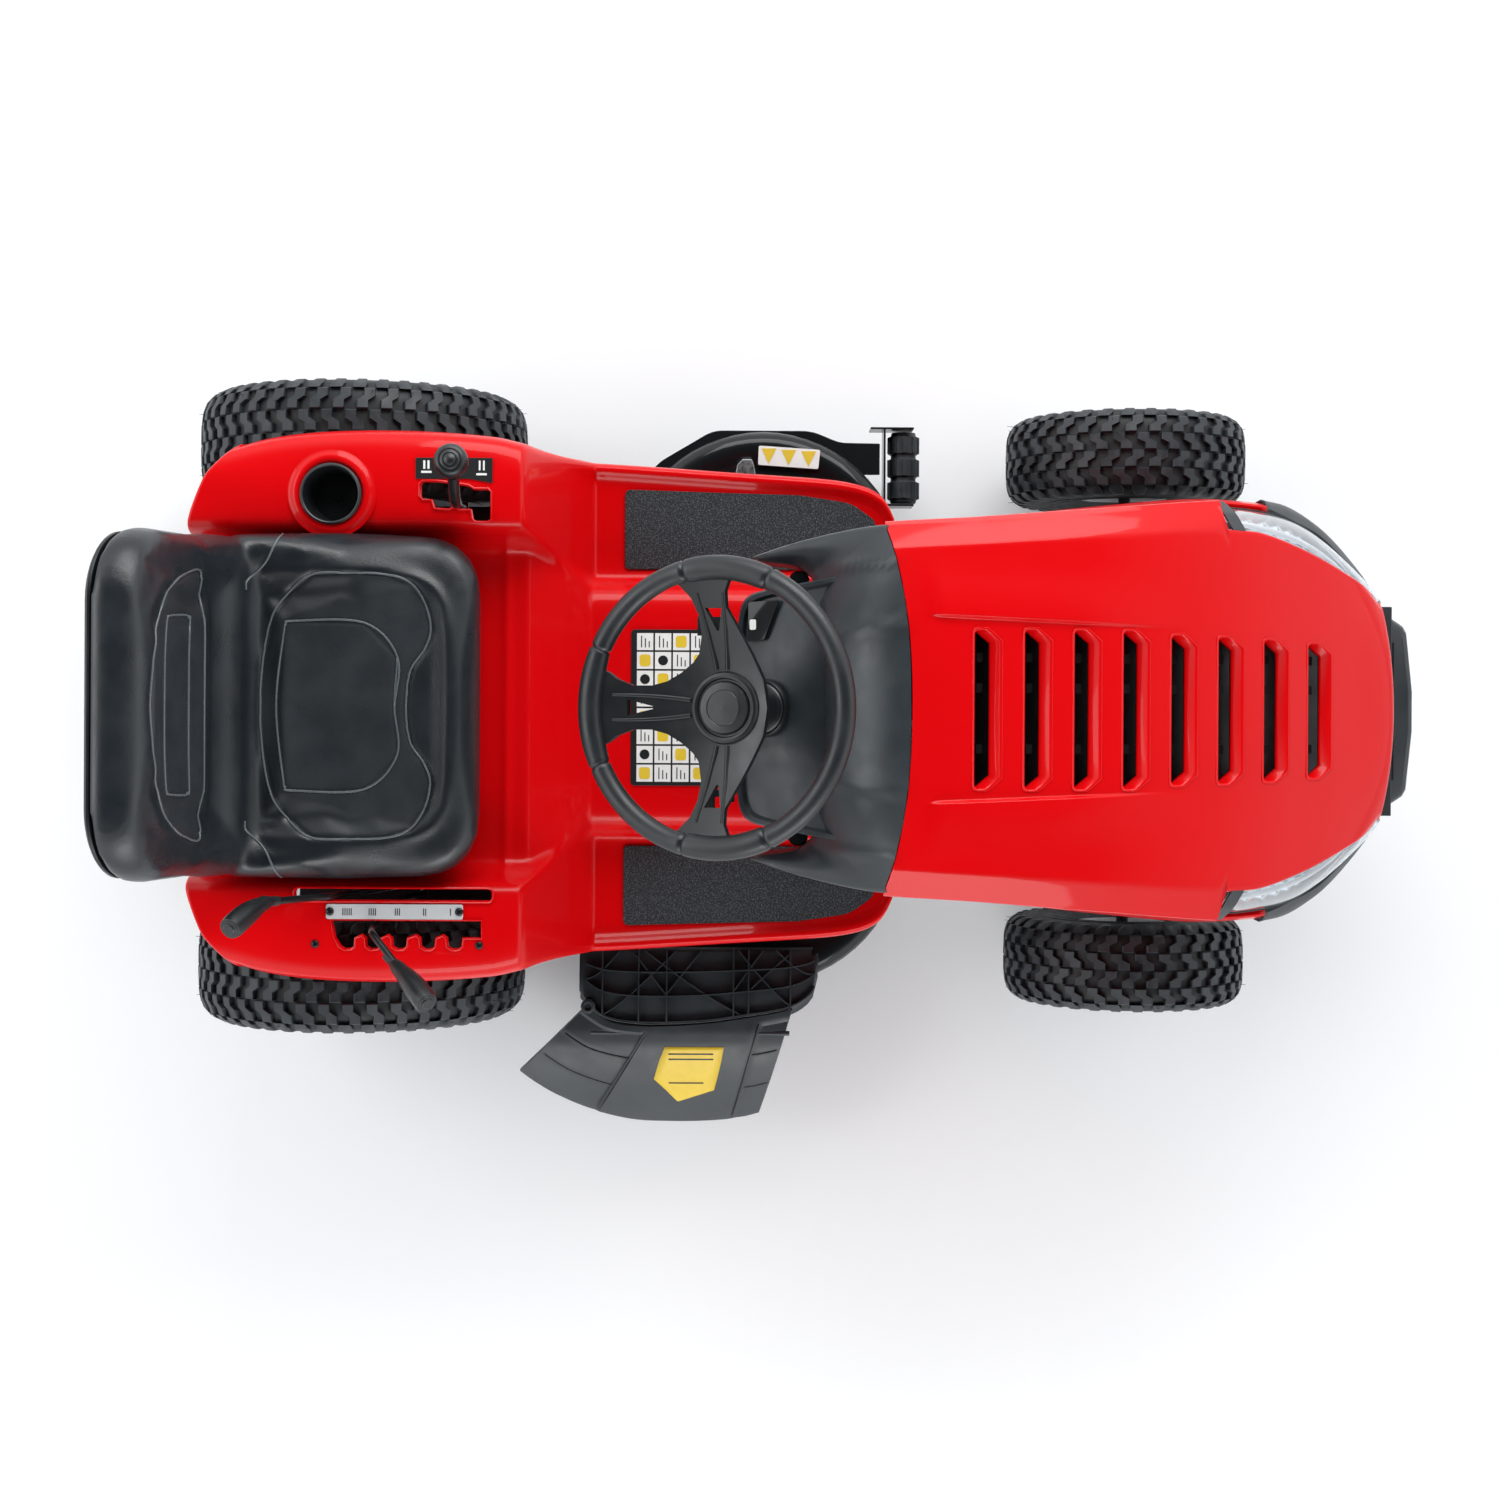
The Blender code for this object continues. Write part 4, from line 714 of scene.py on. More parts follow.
def side_panel(word, side):
    """The flank below the shoulder, with a pressed line along it, ending behind the black bezel."""
    places = [-0.1955 - 0.0115 * step for step in range(40)]
    places = [y for y in places if y > LAMP_REAR + 0.004]
    places += [LAMP_REAR + 0.0025, LAMP_REAR - 0.0005, -0.66, -0.68, -0.7, -0.72, -0.735, -0.745]
    rows = []
    for y in places:
        shoulder = between(HOOD_SHOULDERS, y)
        skirt = between(HOOD_SKIRTS, y)
        full = between(HOOD_TOPS, y) - 0.0475
        high = full if y > LAMP_REAR else 0.598
        row = []
        for down in shares(24):
            z = high + (PANEL_LOW - high) * down
            t = (full - z) / (full - PANEL_LOW)
            line = 0.0035 * ramp(t, 0.3, 0.335) * (1 - ramp(t, 0.42, 0.62)) * ramp(-y, 0.25, 0.34)
            x = shoulder + 0.0005 + (skirt - shoulder) * t + 0.005 * math.sin(math.pi * min(t, 1.0)) - line
            row.append((x, y, z))
        x, _, z = row[-1]
        row += [(x - 0.002, y, z - 0.004), (x - 0.01, y, z - 0.005)]
        x, _, z = row[0]
        rows.append(on_side(side, [(x - 0.012, y, z + 0.001), (x - 0.003, y, z + 0.002)] + row))
    piece(f"{word}_flank", grid(rows), RED, "bonnet", smooth=40, wall=0.0025)


def headlights():
    """Each lamp: clear lens, ridged reflector, bowl and the black frame at its rear end."""
    outward = Vector((0.55, -0.25, 0.8)).normalized()
    inward_down = Vector((0.45, -0.15, 0.88)).normalized()
    inner = smooth_route([(x, y, hood_z(x, y) - 0.0045) for y, x in LAMP_INNER], 6)
    outer = smooth_route(LAMP_OUTER, 6)
    pairs = list(zip(inner, outer))
    for word, side in SIDES:
        lens = []
        for a, b in pairs:
            row = [a.lerp(b, t) + outward * 0.011 * math.sin(math.pi * t) ** 0.8 for t in shares(14)]
            lens.append(on_side(side, row))
        piece(f"{word}_lens", grid(lens), LENS, "bonnet", smooth=60, wall=0.0022,
              stands_for=(f"{word}_headlight",))
        reflector = []
        for index, (a, b) in enumerate(pairs):
            row = []
            for step, t in enumerate(shares(8)):
                depth = 0.01 + 0.016 * math.sin(math.pi * t) + (0.005 if (index + step) % 2 else 0.0)
                row.append(a.lerp(b, 0.04 + 0.92 * t) - inward_down * depth)
            reflector.append(on_side(side, row))
        piece(f"{word}_reflector", grid(reflector), CHROME, "bonnet", smooth=10, wall=0.001)
        bar = [a.lerp(b, 0.5) - inward_down * 0.009 for a, b in pairs[2:-3]]
        piece(f"{word}_lamp_bar", tube(on_side(side, bar), 0.0035, 10), WHITE_FILM, "bonnet", smooth=60)
        rims = [tube([(side * p.x, p.y, p.z - 0.0015) for p in edge], 0.0022, 8) for edge in zip(*pairs)]
        piece(f"{word}_lamp_rim", join(rims), BLACK_PAINT, "bonnet", smooth=60)
        strip = []
        for y in (LAMP_REAR + 0.001, LAMP_REAR - 0.017):
            row = []
            for t in shares(8):
                x = 0.2375 + (0.285 - 0.2375) * t
                z = hood_z(min(x, 0.27), y) - 0.004 - 0.1 * max(t - 0.55, 0) ** 1.3
                row.append((side * x, y + 0.02 * (t - 0.5), z))
            strip.append(row)
        piece(f"{word}_lamp_frame", grid(strip), BUMPER, "bonnet", smooth=40, wall=0.003, bevel=0.0006)


def bezel():
    """The black lower front: wings under the lamps, a surround and seven slats across the grille."""
    rear = -0.7455
    high = smooth_route([(0.288, rear, 0.597), (0.2725, -0.778, 0.596), (0.246, -0.826, 0.592),
                         (0.19, -0.88, 0.588), (0.146, -0.912, 0.586)], 6)
    waist = smooth_route([(0.303, rear, 0.56), (0.291, -0.79, 0.556), (0.255, -0.842, 0.55),
                          (0.196, -0.892, 0.548), (0.146, -0.918, 0.546)], 6)
    low = smooth_route([(0.3, rear, PANEL_LOW), (0.285, -0.785, PANEL_LOW), (0.246, -0.832, PANEL_LOW),
                        (0.188, -0.878, PANEL_LOW), (0.146, -0.903, PANEL_LOW)], 6)
    swell = Vector((0.003, -0.002, 0.0))
    for word, side in SIDES:
        rows = []
        for a, b, c in zip(high, waist, low):
            row = [a - Vector((0.014, -0.008, -0.002)), a]
            row += [a.lerp(b, t) + swell * math.sin(math.pi * t) for t in (0.25, 0.5, 0.75)]
            row += [b] + [b.lerp(c, t) for t in (0.2, 0.4, 0.6, 0.8)] + [c, c - Vector((0.012, -0.006, 0.0))]
            rows.append(on_side(side, row))
        piece(f"{word}_bezel", grid(rows), BUMPER, "bonnet", smooth=40, wall=0.003)
    frame_low = PANEL_LOW
    frame_high = 0.602
    bars = [box(x - 0.006, x + 0.006, -0.92, -0.89, frame_low, frame_high - 0.01) for x in (-0.142, 0.142)]
    bars.append(box(-0.148, 0.148, -0.922, -0.893, frame_high - 0.024, frame_high))
    bars.append(box(-0.148, 0.148, -0.918, -0.893, frame_low, frame_low + 0.012))
    for index in range(7):
        z = frame_low + 0.024 + index * 0.0165
        slat = box(-0.138, 0.138, -0.915, -0.897, z - 0.0022, z + 0.0022)
        bars.append(turn(slat, (0, -0.906, z), "X", -18))
    for x in (-0.07, 0.0, 0.07):
        bars.append(box(x - 0.003, x + 0.003, -0.908, -0.896, frame_low + 0.01, frame_high - 0.022))
    piece("grille_slats", join(bars), BUMPER, "bonnet", bevel=0.001, stands_for=("grille",))


def bumper():
    """A deep moulded bumper with an inset panel in its top, on its two steel arms."""
    rings = []
    for z, grow in ((0.338, -0.012), (0.345, -0.003), (0.356, 0.0), (0.404, 0.0), (0.412, -0.003),
                    (0.416, -0.009)):
        corners = [(0.152, -0.93), (0.15, -0.964), (0.143, -0.978 - grow), (0.128, -1.0 - grow),
                   (0.118, -1.0055 - grow)]
        half = [(x + grow, y) for x, y in corners] + [(0.03, -1.0145 - grow)]
        rings.append([(x, y, z) for x, y in doubled(half)])
    piece("bumper_moulding", loft(rings), BUMPER, "chassis", bevel=0.0015, stands_for=("front_bumper",))
    inset = doubled([(0.11, -0.94), (0.104, -0.984)])
    piece("bumper_panel", prism(inset, 0.415, 0.4178), GRIP, "chassis", bevel=0.0012)
    arms = [box(x - 0.014, x + 0.014, -0.932, -0.9025, 0.345, 0.366) for x in (-0.132, 0.132)]
    piece("bumper_arms", join(arms), FRAME_PAINT, "chassis", bevel=0.001)


# ---- Body pan ----------------------------------------------------------------------------------
FENDER_WIDTHS = [(0.78, 0.323), (0.726, 0.373), (0.656, 0.393), (0.568, 0.4), (0.463, 0.4), (0.357, 0.392),
                 (0.29, 0.378), (0.216, 0.377), (0.0, 0.363), (-0.15, 0.353), (-0.185, 0.346),
                 (-0.222, 0.326), (-0.236, 0.296)]
FENDER_TOP = 0.565
DECK_TOP = 0.475
TUNNEL_TOP = 0.4
BOARD_TOP = 0.33
CUP = (0.303, 0.586)
PLATE_TOP = 0.5692                   # the lever plates' faces
BLADE_GATE = rounded(-0.2805, -0.2595, 0.352, 0.638, 0.008)


def pan_row(y, drop=0.0, back=0.0):
    """Half of a section across the pan: seat deck and fender at the rear, tunnel and footwell in front.

    The rear rows bend forward at their ends, so that the last one follows the fender's round corner.
    """
    bend = (max(y - 0.62, 0.0) / 0.186) ** 2 * 0.085
    wide = between(FENDER_WIDTHS, y - bend)
    well = min(max((0.312 - y) / 0.086, 0.0), 1.0)
    top = FENDER_TOP
    deck = DECK_TOP
    for ridge_y in (0.344, 0.262, 0.24):
        deck += 0.005 * math.exp(-((y - ridge_y) / 0.006) ** 2)
    seat_side = [(0.0, deck), (0.11, deck), (0.215, deck), (0.232, deck + 0.004), (0.243, deck + 0.03),
                 (0.25, top - 0.022), (0.259, top - 0.004), (0.275, top), (0.325, top + 0.003),
                 (wide - 0.04, top + 0.001), (wide - 0.018, top - 0.004), (wide - 0.006, top - 0.014),
                 (wide, top - 0.034), (wide - 0.001, top - 0.05)]
    foot_side = [(0.0, TUNNEL_TOP), (0.1, TUNNEL_TOP), (0.146, TUNNEL_TOP), (0.168, TUNNEL_TOP - 0.004),
                 (0.183, TUNNEL_TOP - 0.016), (0.192, 0.352), (0.197, 0.335), (0.206, BOARD_TOP),
                 (0.27, BOARD_TOP), (wide - 0.036, BOARD_TOP), (wide - 0.024, BOARD_TOP + 0.004),
                 (wide - 0.014, BOARD_TOP + 0.015), (wide - 0.003, BOARD_TOP + 0.014),
                 (wide, BOARD_TOP - 0.002)]
    row = []
    for (x0, z0), (x1, z1) in zip(seat_side, foot_side):
        x = x0 + (x1 - x0) * well
        share = x / wide
        sunk = drop * (1 - 0.6 * ramp(x, wide - 0.02, wide))
        row.append((x + back * share ** 7, y + back - (bend + 0.7 * back) * share ** 7,
                    z0 + (z1 - z0) * well - sunk))
    return row


def body_pan():
    """The red pressing with its holes, and rolled edges round the lever gates."""
    places = [0.8, 0.792, 0.78, 0.765, 0.748, 0.726, 0.69, 0.656, 0.61, 0.568, 0.52, 0.463, 0.41, 0.366,
              0.352, 0.344, 0.336, 0.322, 0.312, 0.302, 0.29, 0.276, 0.268, 0.262, 0.256, 0.246, 0.24, 0.234,
              0.226, 0.219, 0.2, 0.15, 0.075, 0.0, -0.06, -0.11, -0.15, -0.185, -0.205, -0.222,
              -0.232, -0.236]
    rows = []
    edges = [(0.8, 0.048, 0.005), (0.8, 0.03, 0.005), (0.8, 0.012, 0.0044), (0.8, 0.0035, 0.0022)]
    for y, drop, back in edges + [(y, 0.0, 0.0) for y in places]:
        rows.append(both_halves(pan_row(y, drop, back)))
    pan = piece("body_pressing", grid(rows), RED, "chassis", smooth=180, rounds=2, wall=0.0026,
                stands_for=("rear_fender",))
    holes = [prism(arc(CUP[0], CUP[1], 0.0425, 0, 354, 40), 0.5, 0.6)]
    holes += [prism(gate, 0.54, 0.6) for gate in (SHIFT_GATE, BLADE_GATE, LIFT_GATE)]
    holes.append(box(-0.06, 0.06, -0.25, -0.125, 0.36, 0.42))
    carve(pan, "pan_holes", join(holes))
    collar = [(0.043, -0.004), (0.043, 0.0035), (0.0455, 0.007), (0.051, 0.0082), (0.056, 0.0062),
              (0.06, 0.0028), (0.064, 0.0022), (0.064, -0.003)]
    collar = [(radius, FENDER_TOP + rise) for radius, rise in collar]
    collar = turned(collar, (CUP[0] + 0.002, CUP[1], 0.0), "z", 64, closed=True)
    piece("cup_collar", collar, RED, "chassis", smooth=60)
    rims = []
    for outline in (SHIFT_GATE, LIFT_GATE, BLADE_GATE):
        levels = []
        for grow, z in ((0.0005, 0.5625), (0.001, 0.5682), (-0.0008, PLATE_TOP), (-0.0022, 0.567),
                        (-0.0024, 0.556)):
            levels.append([outward(outline, index, grow) + (z,) for index in range(len(outline))])
        rims.append(grid(levels, wrapped=True))
    piece("gate_rims", join(rims), RED, "chassis", smooth=60)


def outward(outline, index, grow):
    """A corner of an outline moved out from its two neighbours' line by grow."""
    before = Vector(outline[index - 1])
    here = Vector(outline[index])
    after = Vector(outline[(index + 1) % len(outline)])
    along = (here - before).normalized() + (after - here).normalized()
    along = along.normalized() if along.length > 0.001 else (after - here).normalized()
    out = Vector((along.y, -along.x))
    return tuple(here + out * grow * turning_sense(outline))


def turning_sense(outline):
    """1 where an outline runs anticlockwise, -1 where it runs clockwise."""
    twice_area = sum(x0 * y1 - x1 * y0 for (x0, y0), (x1, y1) in zip(outline, outline[1:] + outline[:1]))
    return 1 if twice_area > 0 else -1


SHIFT_GATE = [(0.268, 0.357), (0.308, 0.357), (0.313, 0.362), (0.313, 0.382), (0.318, 0.39),
              (0.324, 0.435), (0.324, 0.456), (0.319, 0.461), (0.3, 0.461), (0.295, 0.456),
              (0.295, 0.444), (0.283, 0.44), (0.2815, 0.418), (0.286, 0.41), (0.2815, 0.402),
              (0.2815, 0.388), (0.268, 0.386), (0.264, 0.38), (0.264, 0.362)]
NOTCHES = (0.561, 0.5235, 0.486, 0.4455, 0.407)     # where each stands along the lift lever's slot


def lift_gate():
    """The lift lever's slot: a straight run with five notches on its outer side."""
    outline = [(-0.306, 0.368), (-0.306, 0.585), (-0.333, 0.58)]
    half = 0.0125
    for index, y in enumerate(NOTCHES):
        if index:
            outline.append((-0.329, y + half + 0.0045))
            outline.append((-0.333, y + half))
        outline += [(-0.345, y + half - 0.001), (-0.35, y + 0.004), (-0.349, y - 0.006),
                    (-0.345, y - half + 0.001), (-0.333, y - half)]
    return outline + [(-0.333, 0.368)]


LIFT_GATE = lift_gate()


def trim():
    """Mats, cup, gate plates with their marks, screws, dark plates of painted shade under the slots, and the
    board on the tunnel.
    """
    corners = [(0.213, 0.179, 0.008), (0.3365, 0.179, 0.01), (0.333, 0.06, 0.0), (0.329, -0.09, 0.0),
               (0.317, -0.17, 0.014), (0.29, -0.208, 0.01), (0.245, -0.208, 0.008), (0.213, -0.16, 0.01)]
    for word, side in SIDES:
        outline = soften([(side * x, y, corner) for x, y, corner in corners])
        piece(f"{word}_mat_crumb", prism(outline, BOARD_TOP + 0.0005, BOARD_TOP + 0.0045), MAT, "chassis",
              bevel=0.0012, stands_for=(f"{word}_foot_mat",))
    rim = FENDER_TOP + 0.004
    profile = [(0.0398, 0.0095), (0.0415, 0.0105), (0.044, 0.0085), (0.0435, -0.001), (0.0405, -0.003),
               (0.0372, -0.0515), (0.035, -0.0525), (0.0, -0.0525), (0.0, -0.0495), (0.0045, -0.049),
               (0.006, -0.0475), (0.0225, -0.048), (0.024, -0.046), (0.0255, -0.046), (0.034, -0.0475),
               (0.0355, -0.045), (0.0385, 0.004)]
    cup = turned([(radius, rim + rise) for radius, rise in profile], (*CUP, 0.0), "z", 64, closed=True)
    piece("cup_moulding", cup, GRIP, "chassis", stands_for=("cup_holder",))
    plate = [(0.326, 0.466), (0.356, 0.466), (0.356, 0.356), (0.32, 0.356), (0.326, 0.39)]
    piece("shift_plate", prism(plate, 0.567, PLATE_TOP), BLACK_FILM, "chassis", bevel=0.0004)
    mark_top = PLATE_TOP + 0.0004
    bars = ((0.34, 0.352, 0.452, 0.455), (0.34, 0.352, 0.446, 0.449), (0.334, 0.337, 0.443, 0.458),
            (0.338, 0.352, 0.373, 0.3755), (0.338, 0.352, 0.367, 0.3695), (0.331, 0.334, 0.364, 0.379))
    marks = [box(*sides, PLATE_TOP, mark_top) for sides in bars]
    piece("shift_marks", join(marks), WHITE_FILM, "chassis")
    scale = rounded(-0.305, -0.2835, 0.395, 0.591, 0.003)
    piece("height_plate", prism(scale, 0.5668, PLATE_TOP), SILVER_FILM, "chassis", bevel=0.0005)
    ticks = []
    for index, notch in enumerate(NOTCHES):
        for mark in range(5 - index):
            y = notch + 0.005 - mark * 0.003
            ticks.append(box(-0.2995, -0.2895, y, y + 0.0012, PLATE_TOP, mark_top))
    piece("height_marks", join(ticks), BLACK_FILM, "chassis")
    head = [(0.0, -0.003), (0.0062, -0.003), (0.0058, 0.0012), (0.0035, 0.0028), (0.0, 0.003)]
    centres = ((-0.341, 0.607, 0.5665), (-0.342, 0.372, 0.5665), (-0.294, 0.5855, 0.569),
               (-0.294, 0.4005, 0.569))
    screws = [turned(head, centre, "z", 20) for centre in centres]
    piece("gate_screws", join(screws), BLACK_PAINT, "chassis", smooth=50)
    # Dark plates below the lever gates, seen through the slots: painted shade under the pan.
    for word, side in SIDES:
        x = side * 0.2425
        shade_plate = box(x - 0.0715, x + 0.0715, 0.335, 0.69, 0.2755, 0.2785)
        piece(f"{word}_slot_shade_plate", shade_plate, FRAME_PAINT, "chassis", bevel=0.0008)
    board()


def soften(corners):
    """An outline from (x, y, radius) corners, each rounded by its own radius."""
    outline = []
    count = len(corners)
    for index, (x, y, radius) in enumerate(corners):
        here = Vector((x, y))
        if radius == 0.0:
            outline.append((x, y))
            continue
        before = (Vector(corners[index - 1][:2]) - here).normalized()
        after = (Vector(corners[(index + 1) % count][:2]) - here).normalized()
        start = here + before * radius
        end = here + after * radius
        for t in shares(5):
            outline.append(tuple((1 - t) ** 2 * start + 2 * t * (1 - t) * here + t * t * end))
    return outline


def board():
    """A plain information board on the tunnel: dark border, pale fields and simple marks."""
    foot = TUNNEL_TOP + 0.0008
    z = foot + 0.0016
    back = prism(rounded(-0.118, 0.118, 0.048, 0.165, 0.006), foot, z)
    piece("board_back", back, BLACK_FILM, "chassis", bevel=0.0004)
    fields = []
    yellow = []
    dark = []
    low = z + 0.0004
    high = z + 0.0007
    for row in range(4):
        for column in range(8):
            y = 0.156 - row * 0.0272
            x = -0.112 + column * 0.0284
            fields.append(box(x, x + 0.0256, y - 0.0245, y, z, low))
            if (row + column) % 3 == 0:
                yellow.append(prism(rounded(x + 0.004, x + 0.0216, y - 0.0205, y - 0.004, 0.004), low, high))
            elif (row * 3 + column) % 4 == 1:
                dark.append(prism(arc(x + 0.0128, y - 0.0122, 0.0075, 0, 340, 17), low, high))
            else:
                for line in range(3):
                    edge = y - 0.006 - line * 0.0058
                    dark.append(box(x + 0.004, x + 0.0216 - line * 0.004, edge - 0.0016, edge, low, high))
    piece("board_fields", join(fields), WHITE_FILM, "chassis")
    piece("board_yellow", join(yellow), YELLOW_FILM, "chassis")
    piece("board_dark", join(dark), BLACK_FILM, "chassis")


# ---- Dash ---------------------------------------------------------------------------------------
LEAN = 24.6                          # the steering column's, in degrees
SQUARE_POWER = 0.22                  # how square the tower is; 1 is round


def dash():
    """The tower with its sloping face, the cowl that sweeps back in two wings, boot and icon plate."""
    levels = [  # height at the rear and front, rear and front half-width, rear place
        (0.4015, 0.4015, 0.128, 0.15, -0.016), (0.43, 0.43, 0.13, 0.154, -0.008),
        (0.6, 0.6, 0.144, 0.166, 0.0), (0.7, 0.77, 0.153, 0.182, 0.0035),
        (0.715, 0.836, 0.154, 0.186, 0.004), (0.7185, 0.842, 0.152, 0.184, 0.002),
        (0.718, 0.841, 0.147, 0.18, -0.002), (0.712, 0.835, 0.143, 0.176, -0.006)]
    sides = 64
    front_y = -0.196
    rings = []
    for rear_z, front_z, rear_x, front_x, rear_y in levels:
        ring = []
        for step in range(sides):
            angle = 2 * math.pi * step / sides
            share = (1 - squarer(math.sin(angle), SQUARE_POWER)) / 2
            half = rear_x + (front_x - rear_x) * share
            ring.append((squarer(math.cos(angle), SQUARE_POWER) * half, rear_y + (front_y - rear_y) * share,
                         rear_z + (front_z - rear_z) * share))
        rings.append(ring)
    piece("dash_tower", capped(rings), DASH, "chassis", smooth=35, stands_for=("dash_panel",))

    edge = hood_edge(HOOD_REAR)
    along_hood = [(x, HOOD_REAR + 0.0016 + rear_bow(x / edge), hood_z(x, HOOD_REAR) - 0.0002)
                  for x in (0.237, 0.23, 0.195, 0.145, 0.075, 0.0)]
    outer = smooth_route([(0.205, -0.015, 0.705), (0.221, -0.07, 0.742), (0.234, -0.14, 0.8)]
                         + along_hood, 6)
    inner = smooth_route([(0.203, -0.016, 0.702), (0.196, -0.07, 0.721), (0.184, -0.09, 0.738),
                          (0.174, -0.097, 0.75), (0.156, -0.103, 0.764), (0.128, -0.1075, 0.786),
                          (0.09, -0.1105, 0.804), (0.045, -0.1128, 0.8125), (0.0, -0.1132, 0.814)], 6)
    half_rows = []
    for index, (a, b) in enumerate(zip(inner, outer)):
        row = [a + Vector((-0.004, -0.006, -0.052)), a + Vector((-0.001, 0.0005, -0.006))]
        for t in shares(12):
            crown = 0.01 * math.sin(math.pi * t) * min(index / 8, 1.0)
            p = a.lerp(b, t)
            ridge = 0.0075 * math.exp(-((p.x - 0.094 - 0.01 * t) / 0.008) ** 2) * (0.3 + 0.7 * t)
            ridge += 0.0065 * math.exp(-((p.x - 0.186 - 0.006 * t) / 0.006) ** 2) * ramp(t, 0.15, 0.5)
            row.append(p + Vector((0, 0, crown + ridge)))
        row += [b + Vector((0.002, -0.001, -0.004)), b + Vector((0.0022, -0.0012, -0.014))]
        half_rows.append(row)
    rows = [on_side(-1, row) for row in half_rows] + half_rows[-2::-1]
    piece("dash_cowl", grid(rows), DASH, "chassis", smooth=55, wall=0.0028)

    centre = Vector((0.0, -0.0285, 0.74))
    boot = [(0.04, -0.004), (0.04, 0.004), (0.0375, 0.007), (0.0345, 0.006), (0.0325, 0.008), (0.0335, 0.014),
            (0.0305, 0.018), (0.03, 0.03), (0.027, 0.034), (0.0265, 0.048), (0.0235, 0.052), (0.0225, 0.074),
            (0.02, 0.076)]
    piece("column_boot", turn(turned(boot, centre, "z", 48), centre, "X", -LEAN), GRIP, "chassis", smooth=40)
    plate = soften([(0.15, -0.01, 0.004), (0.152, -0.052, 0.004), (0.098, -0.032, 0.003),
                    (0.096, -0.01, 0.003)])
    plate = prism([(x - 0.006, y) for x, y in plate], 0.0, 0.0035)
    piece("icon_plate", on_slope(plate, 0.7165), BLACK_PAINT, "chassis", bevel=0.0008)
    tag = prism(rounded(0.106, 0.12, -0.021, -0.0125, 0.002), 0.0, 0.0005)
    piece("icon_tag", on_slope(tag, 0.7205), WHITE_FILM, "chassis")
    post = [(0.0, -0.03), (0.013, -0.03), (0.0145, 0.006), (0.012, 0.01), (0.0, 0.011)]
    posts = [turned(post, (x, -0.08, 0.69), "z", 24) for x in (0.174, -0.174)]
    piece("dash_posts", join(posts), GRIP, "chassis")


def on_slope(shape, height):
    """A flat shape laid on the dash's sloping face."""
    points, faces = shape
    return [(x, y, height + z - (y + 0.004) * 0.64) for x, y, z in points], faces


# ---- Steering wheel -----------------------------------------------------------------------------
HUB = Vector((0.0, 0.026, 0.86))
RING = 0.1815
DISH = 0.019
SPOKE_TOPS = [(0.176, 0.0225), (0.14, 0.011), (0.1, -0.004), (0.06, -0.015), (0.03, -0.019)]
HUB_DROP = 0.0155
PADS = (90, 186, 354)                # headings where the spokes meet the rim


def leaned(shape):
    """A shape built flat about the hub, leaned with the column."""
    points, faces = shape
    return turn(([Vector(point) + HUB for point in points], faces), HUB, "X", -LEAN)


